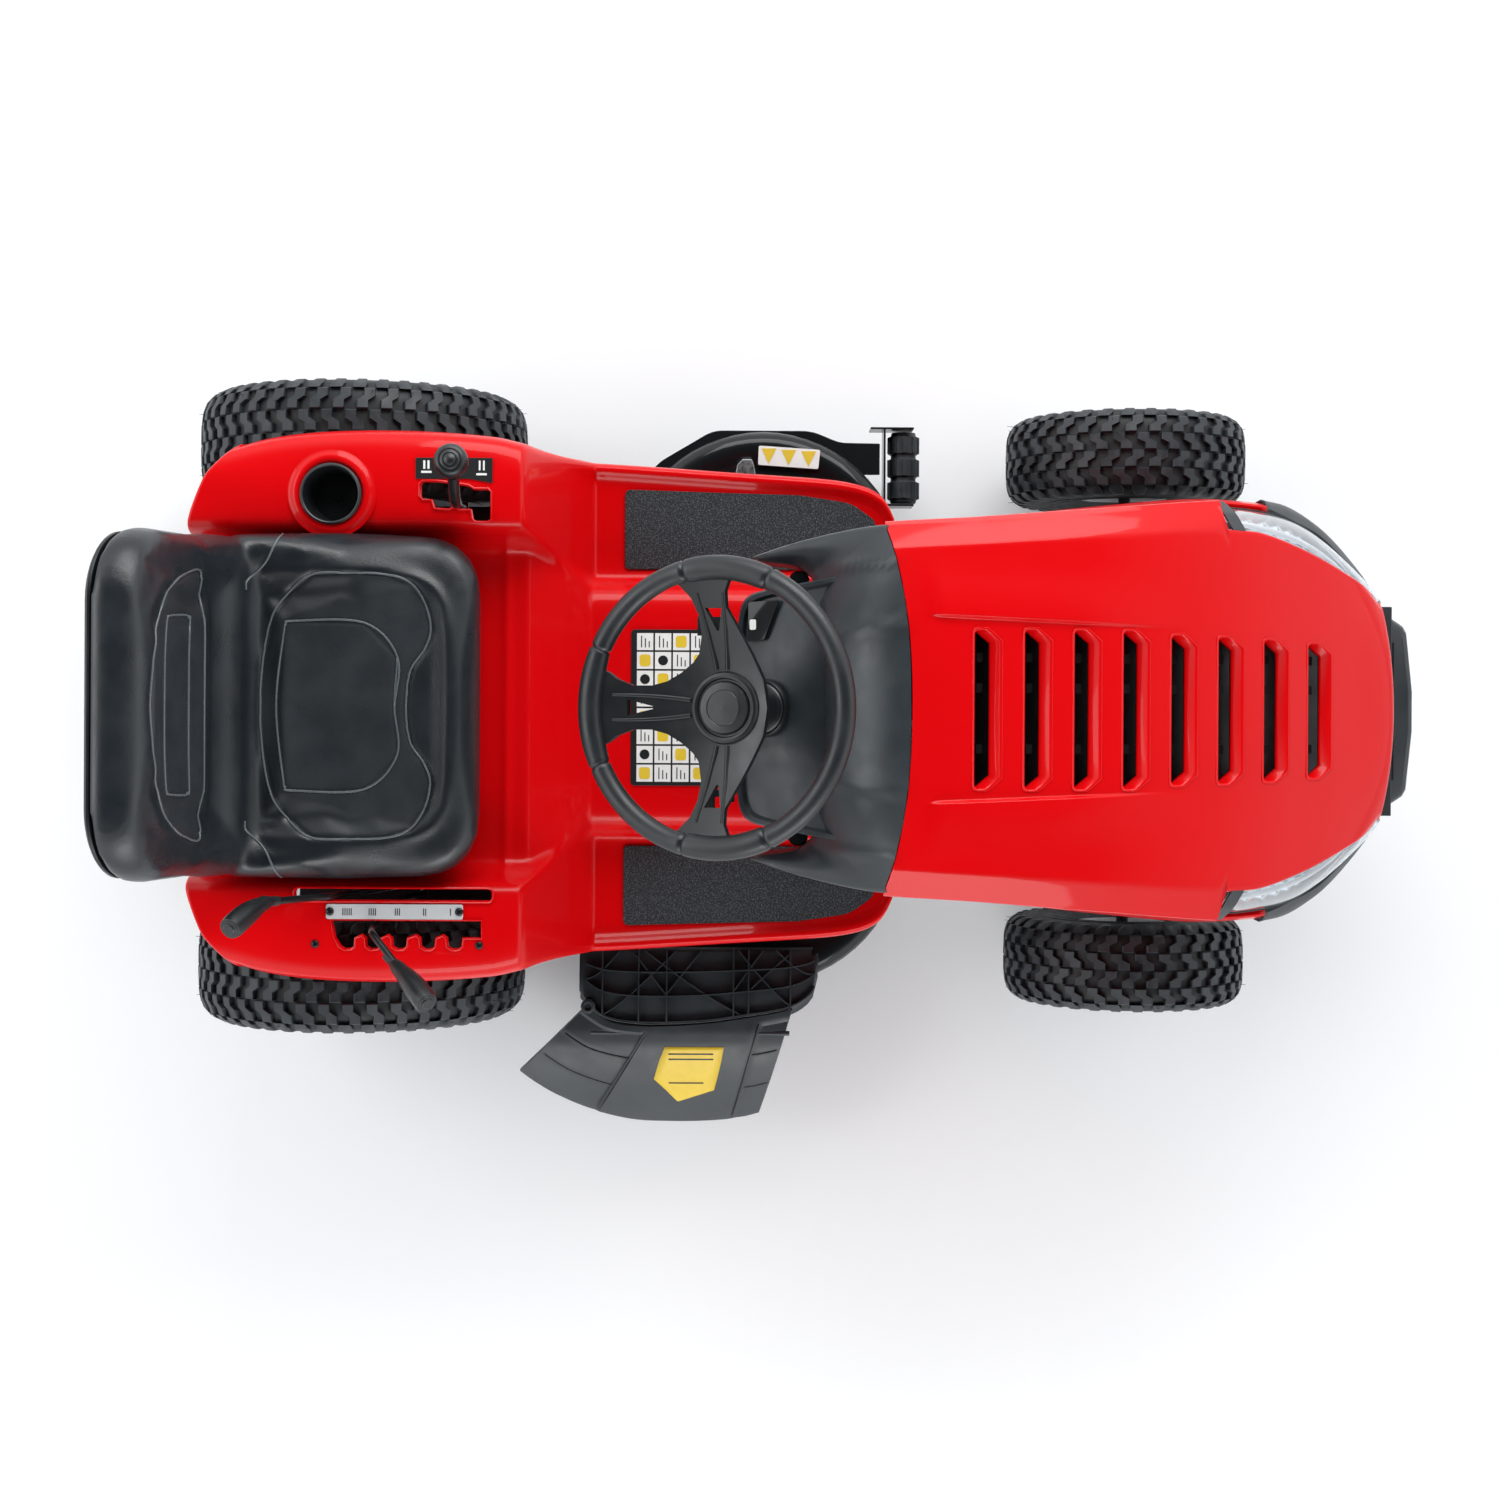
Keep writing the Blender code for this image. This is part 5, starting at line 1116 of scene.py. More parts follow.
def steering_wheel():
    """Grained rim with joint lines, one webbed plate of three spokes with slots and ridges, hub cap."""
    rows = []
    sides = 16
    for heading in range(360):
        gaps = [min(abs(heading - pad), 360 - abs(heading - pad)) for pad in PADS]
        near = min(gaps)
        swell = 0.0022 * (1 - ramp(near, 13, 27))
        joint = min(abs(near - (25 if gaps[0] == near else 19)), 9)
        groove = 0.0026 * math.exp(-(joint / 0.55) ** 2)
        angle = math.radians(heading)
        row = []
        for point in range(sides):
            turned_by = 2 * math.pi * point / sides
            inner_side = max(-math.cos(turned_by), 0.0)
            reach = 0.014 + swell * (0.5 + inner_side) - groove
            out = RING + reach * math.cos(turned_by)
            row.append((out * math.cos(angle), out * math.sin(angle),
                        DISH + reach * 0.96 * math.sin(turned_by)))
        rows.append(row)
    rows.append(rows[0])
    piece("wheel_rim", leaned(grid(rows, wrapped=True)), WHEEL_SKIN, "helm", smooth=60,
          stands_for=("steering_wheel",))

    half = [(0.0, 0.172), (0.052, 0.168), (0.046, 0.154), (0.037, 0.143), (0.029, 0.124), (0.029, 0.1),
            (0.0345, 0.08), (0.0455, 0.061), (0.059, 0.044), (0.07, 0.035), (0.095, 0.0285), (0.12, 0.029),
            (0.142, 0.036), (0.16, 0.052), (0.165, 0.048), (0.1725, 0.0), (0.17, -0.023),
            (0.15, -0.0125), (0.13, -0.011), (0.103, -0.0235), (0.068, -0.0405), (0.036, -0.055),
            (0.0, -0.06)]
    outline = whole(half)
    under = [(radius, height - 0.0095) for radius, height in reversed(SPOKE_TOPS)]
    dish = [(0.0, under[0][1])] + under + SPOKE_TOPS + [(0.0, SPOKE_TOPS[-1][1])]
    plate = piece("wheel_spokes", leaned(turned(dish, (0, 0, 0), "z", 96)), GRIP, "helm", smooth=60)
    carve(plate, "spoke_outline", leaned(prism(outline, -0.08, 0.08)), "INTERSECT")
    slots = [prism([(-0.0105, 0.131), (0.0105, 0.131), (0.0015, 0.098), (-0.0015, 0.098)], -0.08, 0.08)]
    slot = [(0.129, -0.0045), (0.129, 0.0185), (0.1, 0.0065), (0.1, 0.0035)]
    slots += [prism([(side * x, y) for x, y in slot], -0.08, 0.08) for _, side in SIDES]
    carve(plate, "spoke_slots", leaned(join(slots)))
    add_step(plate, "BEVEL", width=0.0022, segments=3, limit_method="ANGLE", angle_limit=math.radians(40))
    ridges = []
    for start, end, sway in (((0.01, 0.05), (0.0165, 0.15), 0.002), ((-0.01, 0.05), (-0.0165, 0.15), -0.002),
                             ((0.05, 0.012), (0.148, 0.0265), 0.0), ((0.05, -0.003), (0.148, -0.0095), 0.0),
                             ((-0.05, 0.012), (-0.148, 0.0265), 0.0),
                             ((-0.05, -0.003), (-0.148, -0.0095), 0.0)):
        route = []
        for t in shares(8):
            x = start[0] + (end[0] - start[0]) * t + sway * math.sin(math.pi * t)
            y = start[1] + (end[1] - start[1]) * t
            route.append((x, y, between(SPOKE_TOPS, math.hypot(x, y)) - 0.0012))
        ridges.append(tube(route, [0.004 * (1 - 0.45 * t) for t in shares(8)], 10))
    piece("wheel_ridges", leaned(join(ridges)), GRIP, "helm", smooth=60)
    hub = [(0.0, -0.03), (0.036, -0.03), (0.041, -0.018), (0.0475, -0.006), (0.0475, 0.0), (0.0455, 0.003),
           (0.042, 0.004), (0.039, 0.003), (0.0375, 0.0005), (0.0352, 0.0002), (0.0345, 0.003),
           (0.033, 0.005), (0.024, 0.0062), (0.0232, 0.0056), (0.0224, 0.0062), (0.0, 0.0068)]
    piece("wheel_hub", leaned(turned(hub, (0, 0, -HUB_DROP), "z", 72)), GRIP, "helm", smooth=28)


# ---- Seat ----------------------------------------------------------------------------------------
SEAT_FRONT = 0.367
SEAT_HALF = 0.252
SEAT_SWELL = 0.0035                  # how much smaller the foam starts than it ends


def plate_y(z):
    """The front face of the backrest's hard plate."""
    return 0.768 + 0.185 * (z - 0.6)


def cushion_shape():
    """The foam of the cushion: bolsters round a dish, and a raised rear that meets the backrest."""
    centre_y = 0.552
    half = SEAT_HALF - SEAT_SWELL
    low = SEAT_FRONT + SEAT_SWELL
    high = 0.745 - SEAT_SWELL
    corners = [(half - 0.006, low, 0.09), (half, 0.56, 0.0), (half - 0.004, high, 0.03)]
    rings = []
    for scale, z in ((0.78, 0.5345), (0.93, 0.54), (0.985, 0.554), (1.0, 0.57), (0.985, 0.586),
                     (0.945, 0.5985), (0.885, 0.6045), (0.82, 0.603), (0.74, 0.593), (0.64, 0.585),
                     (0.4, 0.581), (0.15, 0.58)):
        ring = []
        for x, y in soften(doubled(corners)):
            place = centre_y + (y - centre_y) * scale
            across = x * scale
            lift = 0.0
            if z > 0.58:
                lift = 0.022 * ramp(place, 0.655, 0.715)
                lift += 0.014 * math.exp(-(across / 0.055) ** 2) * math.exp(-((place - 0.412) / 0.03) ** 2)
            ring.append((across, place, z + lift))
        rings.append(ring)
    return loft(rings)


def backrest_shape():
    """The foam of the backrest: a thick roll along the top and sides round a shallow hollow."""
    centre_z = 0.76
    half = 0.237 - SEAT_SWELL
    outline = [(half + 0.004, 0.605), (half + 0.008, 0.62), (half + 0.006, 0.65), (half + 0.001, 0.7)]
    outline += arc(half - 0.1, 0.919 - SEAT_SWELL - 0.1, 0.1, 0, 90, 12)
    rings = []
    for scale, depth in ((0.97, 0.0), (0.992, 0.007), (1.0, 0.022), (0.985, 0.042), (0.935, 0.057),
                         (0.87, 0.06), (0.79, 0.056), (0.7, 0.046), (0.6, 0.04), (0.3, 0.038), (0.1, 0.038)):
        ring = []
        for x, z in doubled(outline):
            height = centre_z + (z - centre_z) * scale
            low = 0.016 * (1 - ramp(height, 0.6, 0.7)) * (1.0 if depth > 0.03 else 0.0)
            ring.append((x * scale, plate_y(height) - 0.0008 - depth - low, height))
        rings.append(ring)
    return loft(rings)


def foam(made, voxel, pressure, cap):
    """An even mesh, blown up a little as cloth over foam; no point moves further than the cap."""
    add_step(made, "REMESH", mode="VOXEL", voxel_size=voxel)
    add_step(made, "SMOOTH", factor=0.5, iterations=10)
    apply_steps(made)
    made.data.shade_smooth()
    starts = [vertex.co.copy() for vertex in made.data.vertices]
    held = made.vertex_groups.new(name="held")
    for index, start in enumerate(starts):
        here = start - ORIGIN
        in_fold = 0.68 < here.y < 0.735 and 0.585 < here.z < 0.68
        if here.z < 0.545 or here.y > plate_y(here.z) - 0.01 or in_fold:
            held.add([index], 1.0, "REPLACE")
    step = add_step(made, "CLOTH")
    settings = {"quality": 4, "mass": 0.4, "tension_stiffness": 12, "compression_stiffness": 12,
                "shear_stiffness": 6, "bending_stiffness": 12.0, "use_pressure": True,
                "uniform_pressure_force": pressure, "vertex_group_mass": "held"}
    for setting, value in settings.items():
        setattr(step.settings, setting, value)
    step.settings.effector_weights.gravity = 0.0
    step.collision_settings.use_collision = False
    last_frame = 20
    step.point_cache.frame_start = 1
    step.point_cache.frame_end = last_frame
    scene = bpy.context.scene
    for number in range(1, last_frame + 1):
        scene.frame_set(number)
    puffed = frozen(made)
    made.modifiers.clear()
    scene.frame_set(1)
    for vertex, start, blown in zip(made.data.vertices, starts, puffed.vertices):
        shift = blown.co - start
        if shift.length > cap:
            shift *= cap / shift.length
        vertex.co = start + shift
    bpy.data.meshes.remove(puffed)
    add_step(made, "SMOOTH", factor=0.5, iterations=6)
    apply_steps(made)


CUSHION_BEAD = [(0.0, 0.4725), (0.03, 0.471), (0.055, 0.4645), (0.08, 0.4465), (0.108, 0.437), (0.145, 0.445),
                (0.175, 0.466), (0.186, 0.5), (0.188, 0.55), (0.186, 0.605), (0.16, 0.642),
                (0.12, 0.666), (0.06, 0.678), (0.0, 0.681)]
CUSHION_PANEL = [(0.0, 0.4895), (0.069, 0.485), (0.118, 0.532), (0.12, 0.633), (0.115, 0.643), (0.102, 0.646),
                 (0.0, 0.657)]
BACK_BEAD = [(0.0, 0.71), (0.15, 0.71), (0.176, 0.713), (0.184, 0.726), (0.178, 0.762), (0.16, 0.815),
             (0.12, 0.856), (0.06, 0.879), (0.0, 0.885)]
BACK_PANEL = [(0.0, 0.76), (0.108, 0.76), (0.117, 0.764), (0.12, 0.774), (0.117, 0.82), (0.11, 0.828),
              (0.06, 0.832), (0.0, 0.833)]


def whole(half):
    """A closed outline from its left half, whose two ends lie on the middle line."""
    return half + [(-x, other) for x, other in reversed(half[1:-1])]


def inside(outline, a, b):
    """Whether a point lies inside an outline."""
    within = False
    for (a0, b0), (a1, b1) in zip(outline, outline[1:] + outline[:1]):
        if (b0 > b) != (b1 > b) and a < a0 + (b - b0) / (b1 - b0) * (a1 - a0):
            within = not within
    return within


def nearest(outline, a, b):
    """How far a point lies from an outline."""
    best = 1.0
    for (a0, b0), (a1, b1) in zip(outline, outline[1:] + outline[:1]):
        along = ((a - a0) * (a1 - a0) + (b - b0) * (b1 - b0)) / ((a1 - a0) ** 2 + (b1 - b0) ** 2)
        along = min(max(along, 0.0), 1.0)
        best = min(best, math.hypot(a - a0 - along * (a1 - a0), b - b0 - along * (b1 - b0)))
    return best


def seat():
    """One upholstered piece with beaded panels, and the hard shell behind and below it."""
    made = piece("seat_upholstery", join([cushion_shape(), backrest_shape()]), VINYL, "seat", smooth=180,
                 stands_for=("seat_cushion", "seat_back"))
    foam(made, voxel=0.005, pressure=4.0, cap=0.022)
    made.data.materials.clear()
    made.data.materials.append(VINYL)
    made.data.materials.append(VINYL_PANEL)
    add_step(made, "SUBSURF", levels=1, render_levels=1)
    apply_steps(made)
    outlines = {"top": (whole(CUSHION_BEAD), whole(CUSHION_PANEL)),
                "front": (whole(BACK_BEAD), whole(BACK_PANEL))}

    def on_face(place, normal):
        """Which upholstered face a place is on, and where on it."""
        here = place - ORIGIN
        if normal.z > 0.6 and here.z < 0.66 and here.y < 0.70:
            return "top", here.x, here.y
        if normal.y < -0.6 and here.z > 0.68:
            return "front", here.x, here.z
        return None, 0.0, 0.0

    normals = [vertex.normal.copy() for vertex in made.data.vertices]
    for vertex, normal in zip(made.data.vertices, normals):
        face, a, b = on_face(vertex.co, normal)
        if face:
            bead, panel = outlines[face]
            deep = 0.002 * math.exp(-(nearest(bead, a, b) / 0.0046) ** 2)
            deep += 0.0012 * math.exp(-(nearest(panel, a, b) / 0.004) ** 2)
            deep += 0.0016 if inside(bead, a, b) else 0.0
            vertex.co -= normal * deep
    for polygon in made.data.polygons:
        face, a, b = on_face(polygon.center, polygon.normal)
        if face and inside(outlines[face][0], a, b):
            polygon.material_index = 1
    made.data.shade_smooth()
    tree = BVHTree.FromObject(made, bpy.context.evaluated_depsgraph_get())
    beads = []
    for face, loops in outlines.items():
        for loop in loops:
            beads.append(laid_bead(tree, loop + loop[:2], face == "top"))
    fold = [(0.243, 0.65), (0.205, 0.668), (0.178, 0.694), (0.163, 0.697)]
    for side in (-1, 1):
        beads.append(laid_bead(tree, [(side * x, y) for x, y in fold], True))
    # The beads take the pale piping colour, a painted highlight along each bead.
    piece("seat_beads", join(beads), PIPING_PAINTED_HIGHLIGHT, "seat", smooth=180)
    seat_shell()


def laid_bead(tree, outline, downward):
    """A thin raised bead laid on the seat along an outline."""
    route = []
    for a, b in smoothed(outline):
        start = Vector((a, b, 0.7)) if downward else Vector((a, 0.5, b))
        heading = Vector((0, 0, -1)) if downward else Vector((0, 1, 0))
        spot, normal, _, _ = tree.ray_cast(start + ORIGIN, heading)
        if spot:
            route.append(spot - ORIGIN + normal * 0.0006)
    return tube(route, 0.0017, 8)


def smoothed(outline):
    """A flat outline rounded into a smooth curve."""
    return [(point.x, point.y) for point in smooth_route([(a, b, 0.0) for a, b in outline], 7)]


def seat_shell():
    """The hard shell: a tub under the cushion and a plate behind the backrest with a rolled edge."""
    tub = []
    for inset, z in ((0.05, 0.5145), (0.03, 0.516), (0.014, 0.527), (0.012, 0.5325)):
        half = SEAT_HALF - inset
        tub.append([(x, y, z) for x, y in rounded(-half, half, SEAT_FRONT + inset, 0.8 - inset, 0.075, 8)])
    plates = []
    outline = arc(0.134, 0.812, 0.094, 0, 90, 12)
    outline = doubled([(0.22, 0.525), (0.228, 0.56)] + outline)
    for shrink, depth in ((0.985, 0.0008), (1.0, 0.0016), (1.0, 0.006), (0.985, 0.009), (0.94, 0.01)):
        plates.append([(x * shrink, plate_y(z) + depth, 0.7 + (z - 0.7) * shrink) for x, z in outline])
    ribs = []
    for x in (-0.15, -0.075, 0.0, 0.075, 0.15):
        top_z = 0.875 - 1.4 * max(abs(x) - 0.075, 0.0) ** 1.2
        ribs.append(loft([[(x - half, plate_y(z) + 0.008, z), (x + half, plate_y(z) + 0.008, z),
                           (x + half * 0.6, plate_y(z) + 0.0145, z), (x - half * 0.6, plate_y(z) + 0.0145, z)]
                          for half, z in ((0.004, 0.56), (0.005, 0.6), (0.005, 0.78), (0.004, top_z))]))
    piece("seat_tub", join([loft(tub), loft(plates)] + ribs), GRIP, "seat", smooth=40, bevel=0.0012,
          stands_for=("seat_shell",))


# ---- Levers and pedals -----------------------------------------------------------------------------
def moulded_grip(name, body, route):
    """A moulded grip that widens to a blunt end with a push button in it."""
    reach = 0.0165
    route = smooth_route(route, 5)
    radii = []
    for t in shares(len(route) - 1):
        ring = 0.0012 if 0.20 < t < 0.34 else 0.0
        radii.append(0.007 + (reach - 0.007) * ramp(t, 0.12, 0.75) + ring)
    radii[-1] = reach * 0.9
    end = route[-1]
    along = (end - route[-2]).normalized()
    button = tube([end - along * 0.004, end + along * 0.0015, end + along * 0.003],
                  [reach * 0.55, reach * 0.55, reach * 0.45], 20)
    ring = tube([end - along * 0.002, end + along * 0.0012], [reach * 0.78, reach * 0.72], 24)
    piece(name, join([tube(route, radii, 20), ring, button]), GRIP, body, smooth=50, bevel=0.0008)


def rod(name, body, node, route, pivot_ends, pivot_radius=0.008, sleeve=None):
    """A bent lever rod on its pivot, with a sleeve round some of its points; it stands for a node."""
    route = smooth_route(route, 5)
    shapes = [tube(route, 0.0052, 14), tube(pivot_ends, pivot_radius, 16)]
    if sleeve:
        shapes.append(tube(route[sleeve], 0.0082, 14))
    piece(name, join(shapes), BLACK_PAINT, body, smooth=50, stands_for=(node,))


def levers():
    """Gear lever with its ringed knob, lift and blade levers with moulded grips, pedals with treads."""
    rod("shift_rod", "shifter", "shift_lever",
        [(0.29, 0.405, 0.51), (0.289, 0.405, 0.56), (0.293, 0.405, 0.6), (0.318, 0.402, 0.64),
         (0.335, 0.4, 0.664)],
        [(0.254, 0.405, 0.505), (0.298, 0.405, 0.505)], pivot_radius=0.007, sleeve=slice(8, 17))
    knob = [(0.0, 0.652), (0.01, 0.653), (0.013, 0.66), (0.0215, 0.668), (0.024, 0.676), (0.0238, 0.684),
            (0.0215, 0.6905), (0.0185, 0.6935), (0.015, 0.694), (0.0145, 0.6928), (0.0138, 0.6942),
            (0.0095, 0.695), (0.0088, 0.694), (0.008, 0.6952), (0.0, 0.696)]
    knob = turn(turned(knob, (0.338, 0.4, 0.0), "z", 48), (0.338, 0.4, 0.676), "Y", 4)
    piece("shift_knob", knob, GRIP, "shifter", smooth=60)
    rod("lift_rod", "lifter", "lift_lever",
        [(-0.291, 0.49, 0.295), (-0.291, 0.51, 0.43), (-0.308, 0.524, 0.51), (-0.3175, 0.525, 0.56),
         (-0.319, 0.52, 0.6), (-0.323, 0.512, 0.625), (-0.343, 0.492, 0.642), (-0.366, 0.47, 0.658)],
        [(-0.172, 0.49, 0.295), (-0.297, 0.49, 0.295)])
    moulded_grip("lift_grip", "lifter", [(-0.35, 0.493, 0.632), (-0.364, 0.472, 0.658),
                                         (-0.383, 0.446, 0.692), (-0.403, 0.423, 0.722)])
    rod("blade_rod", "blade_control", "pto_lever",
        [(-0.2715, 0.49, 0.335), (-0.2715, 0.532, 0.44), (-0.2715, 0.581, 0.565), (-0.2705, 0.628, 0.65),
         (-0.27, 0.65, 0.688)],
        [(-0.172, 0.49, 0.335), (-0.2775, 0.49, 0.335)])
    moulded_grip("blade_grip", "blade_control", [(-0.27, 0.638, 0.668), (-0.2715, 0.652, 0.692),
                                                 (-0.283, 0.667, 0.728), (-0.299, 0.681, 0.764)])
    stubs = [tube([(side * x, -0.19, 0.62) for x in (0.165, 0.2055)], 0.0085, 16) for _, side in SIDES]
    piece("pedal_pivots", join(stubs), DARK_STEEL, "chassis", smooth=50, bevel=0.0006)
    for word, body, side in (("brake_pedal", "brake", 1), ("speed_pedal", "speed", -1)):
        dress(word, BLACK_PAINT, 0.0012)
        x = side * 0.234
        treads = [box(x - 0.0255, x + 0.0255, -0.1442, -0.1405, z - 0.0024, z + 0.0024)
                  for z in (0.384, 0.393, 0.402, 0.411, 0.42)]
        pad = (side * 0.229, -0.15, 0.405)
        piece(f"{word}_tread", turn(join(treads), pad, "X", math.degrees(0.5)), GRIP, body, bevel=0.0006)


# ---- Deck and chute --------------------------------------------------------------------------------
SPINDLE_X = 0.219
SPINDLE_Y = -0.036


def deck_ring(radius, z):
    """The deck's outline at a distance from the line between its spindles."""
    outline = arc(SPINDLE_X, SPINDLE_Y, radius, -90, 90, 30) + arc(-SPINDLE_X, SPINDLE_Y, radius, 90, 270, 30)
    return [(x, y, z) for x, y in outline]


def deck():
    """Pressed deck with a rolled shoulder, the left flange, lugs for the gauge roller and the roller."""
    profile = [(0.23, 0.0855), (0.23, 0.15), (0.2295, 0.168), (0.227, 0.18), (0.2215, 0.189),
               (0.213, 0.1945), (0.203, 0.1958), (0.192, 0.1935), (0.183, 0.189), (0.176, 0.1865),
               (0.16, 0.186), (0.12, 0.187), (0.09, 0.188), (0.06, 0.1885)]
    shell = capped([deck_ring(radius, z) for radius, z in profile])
    shell = piece("deck_pressing", shell, BLACK_PAINT, "deck", smooth=50, wall=0.003,
                  stands_for=("deck_shell",))
    holes = [prism(arc(side * SPINDLE_X, SPINDLE_Y, 0.026, 0, 350, 35), 0.14, 0.22) for side in (-1, 1)]
    holes.append(box(-0.5, -0.239, -0.15, 0.13, 0.06, 0.165))
    carve(shell, "deck_holes", join(holes))
    flange = soften([(0.38, 0.15, 0.0), (0.4, 0.132, 0.012), (0.451, 0.046, 0.016), (0.451, -0.114, 0.016),
                     (0.432, -0.16, 0.012), (0.431, -0.225, 0.0), (0.38, -0.225, 0.0)])
    parts = [prism(flange, 0.16, 0.165), box(0.33, 0.334, -0.281, -0.15, 0.113, 0.16),
             box(0.455, 0.4585, -0.281, -0.21, 0.113, 0.16), box(0.33, 0.4585, -0.235, -0.2315, 0.113, 0.16)]
    piece("deck_flange", join(parts), BLACK_PAINT, "deck", bevel=0.0012)
    lug = [(0.3, 0.06), (0.308, 0.063), (0.308, 0.078), (0.3, 0.086), (0.28, 0.09), (0.28, 0.056)]
    lug = prism([(x + 0.092, y - 0.08) for x, y in lug], 0.184, 0.199)
    piece("deck_bracket", lug, STEEL, "deck", bevel=0.001)
    label = soften([(0.4225, -0.028, 0.003), (0.416, -0.127, 0.003), (0.385, -0.124, 0.003),
                    (0.3915, -0.027, 0.003)])
    z = 0.1972
    piece("deck_label", prism(label, 0.19, z), WHITE_FILM, "deck", bevel=0.0004)
    marks = []
    for index in range(3):
        y = -0.043 - index * 0.032
        x = 0.418 - index * 0.0021
        marks.append(prism([(x, y + 0.0105), (x, y - 0.0135), (x - 0.025, y - 0.001)], z, z + 0.0005))
    piece("deck_marks", join(marks), YELLOW_FILM, "deck")
    centre = Vector((0.3945, -0.266, 0.126))
    profile = [(0.0, -0.058), (0.0195, -0.058), (0.0215, -0.055)]
    for start in (-0.052, -0.015, 0.022):
        profile += [(0.0215, start), (0.024, start + 0.001), (0.024, start + 0.029), (0.0215, start + 0.03),
                    (0.0205, start + 0.031), (0.0205, start + 0.036)]
    profile = profile[:-1] + [(0.0195, 0.058), (0.0, 0.058)]
    bars = []
    for index in range(9):
        for start in (-0.0505, -0.0135, 0.0235):
            bar = box(start, start + 0.027, -0.0034, 0.0034, 0.0225, 0.0262)
            bars.append(moved(turn(bar, (0, 0, 0), "X", 40 * index), centre))
    piece("roller_tread", join([turned(profile, centre, "x", 36)] + bars), TYRE, "roller", smooth=40,
          bevel=0.0007, stands_for=("gauge_roller",))


ADAPTOR_EDGE = [(0.256, -0.455), (0.24, -0.476), (0.218, -0.496), (0.17, -0.506), (0.115, -0.507),
                (0.05, -0.503), (0.0, -0.496), (-0.05, -0.488), (-0.083, -0.48), (-0.108, -0.466),
                (-0.122, -0.448), (-0.128, -0.42)]
ADAPTOR_INNER = -0.385


def adaptor_point(y, share):
    """A point on the adaptor's arched top; share runs from its inner edge to its outer one."""
    edge = between(ADAPTOR_EDGE, y)
    x = ADAPTOR_INNER + (edge - ADAPTOR_INNER) * share
    z = 0.199 + 0.011 * math.sin(math.pi * min(share, 1.0) * 0.62) - 0.01 * ramp(abs(y - 0.06), 0.12, 0.2)
    return Vector((x, y, z))


def adaptor_rib(start, end, lift=0.01):
    """A thin wall standing on the adaptor between two (place along, share across) points."""
    half = 0.0014
    along = Vector(end) - Vector(start)
    rings = []
    for t in shares(8):
        y, share = Vector(start) + along * t
        foot = adaptor_point(y, share)
        ahead = adaptor_point(y + along[0] * 0.01, share + along[1] * 0.01)
        side = (ahead - foot).cross(Vector((0, 0, 1))).normalized() * half
        low = foot - Vector((0, 0, 0.003))
        high = foot + Vector((0, 0, lift))
        rings.append([low - side, low + side, high + side * 0.8, high - side * 0.8])
    return loft(rings)


def chute():
    """The ribbed adaptor on the deck's side and the hinged deflector outside it."""
    rows = []
    for t in shares(48):
        row = [adaptor_point(0.256 - 0.384 * t, share) for share in shares(12)]
        edge = row[-1]
        row += [edge + Vector((-0.0015, 0, -0.003)), edge + Vector((-0.002, 0, -0.018)),
                edge + Vector((-0.016, 0, -0.024))]
        rows.append(row)
    piece("adaptor_skin", grid(rows), CHUTE, "deck", smooth=45, wall=0.0025, stands_for=("chute_adaptor",))
    ribs = []
    for share in (0.32, 0.63, 0.97):
        places = [0.245, 0.19, 0.12, 0.05, -0.02, -0.085, -0.122]
        for a, b in zip(places, places[1:]):
            ribs.append(adaptor_rib((a, share), (b, share)))
    for y in (0.218, 0.16, 0.115, 0.008, -0.016, -0.083):
        ribs.append(adaptor_rib((y, 0.02), (y, 0.98)))
    for a, b in (((0.19, 0.05), (0.245, 0.6)), ((0.165, 0.1), (0.115, 0.62)), ((0.1, 0.05), (0.218, 0.97)),
                 ((0.15, 0.05), (-0.005, 0.97)), ((0.0, 0.04), (-0.083, 0.97)), ((-0.04, 0.04), (0.01, 0.64)),
                 ((-0.06, 0.04), (-0.122, 0.63)), ((-0.083, 0.1), (-0.02, 0.6)),
                 ((0.06, 0.05), (0.115, 0.6))):
        ribs.append(adaptor_rib(a, b, lift=0.0085))
    for y, outer in ((-0.124, -0.44), (0.243, -0.458)):
        ribs.append(box(outer, outer + 0.035, y, y + 0.004, 0.098, 0.196))
    piece("adaptor_ribs", join(ribs), CHUTE, "deck", smooth=30)
    boss = turned([(0.0, -0.008), (0.0115, -0.008), (0.0115, 0.008), (0.008, 0.009), (0.0062, 0.009),
                   (0.0055, 0.005), (0.0, 0.005)], (-0.479, 0.241, 0.208), "z", 24)
    piece("adaptor_boss", boss, CHUTE, "deck", smooth=40, bevel=0.0008)
    deflector()


# share from rear to front, y, x
OUTER_LIP = [(0.0, 0.352, -0.588), (0.05, 0.333, -0.604), (0.14, 0.298, -0.628), (0.28, 0.242, -0.656),
             (0.44, 0.174, -0.676), (0.6, 0.108, -0.68), (0.76, 0.046, -0.6785), (0.9, -0.008, -0.672),
             (1.0, -0.034, -0.664)]
INNER_LIP = [(0.244, -0.48), (0.23, -0.49), (0.205, -0.504), (0.17, -0.5095), (0.115, -0.51),
             (0.05, -0.5055), (0.0, -0.4985), (-0.05, -0.4905), (-0.085, -0.484)]
DEFLECTOR_TOPS = [(-0.5185, 0.213), (-0.545, 0.207), (-0.58, 0.192), (-0.62, 0.168), (-0.65, 0.144),
                  (-0.682, 0.111)]


def deflector_point(share, v, lift=0.0):
    """A point on the deflector: share from the hinge to the lip, v from its rear edge to its front one."""
    lip_y = between([(-place, y) for place, y, _ in OUTER_LIP], -v)
    lip_x = between([(-place, x) for place, _, x in OUTER_LIP], -v)
    inner_y = 0.244 + (-0.085 - 0.244) * v
    inner_x = between(INNER_LIP, inner_y)
    x = inner_x + (lip_x - inner_x) * share
    y = inner_y + (lip_y - inner_y) * share
    return Vector((x, y, between(DEFLECTOR_TOPS, x) + 0.004 * math.sin(math.pi * v) + lift))


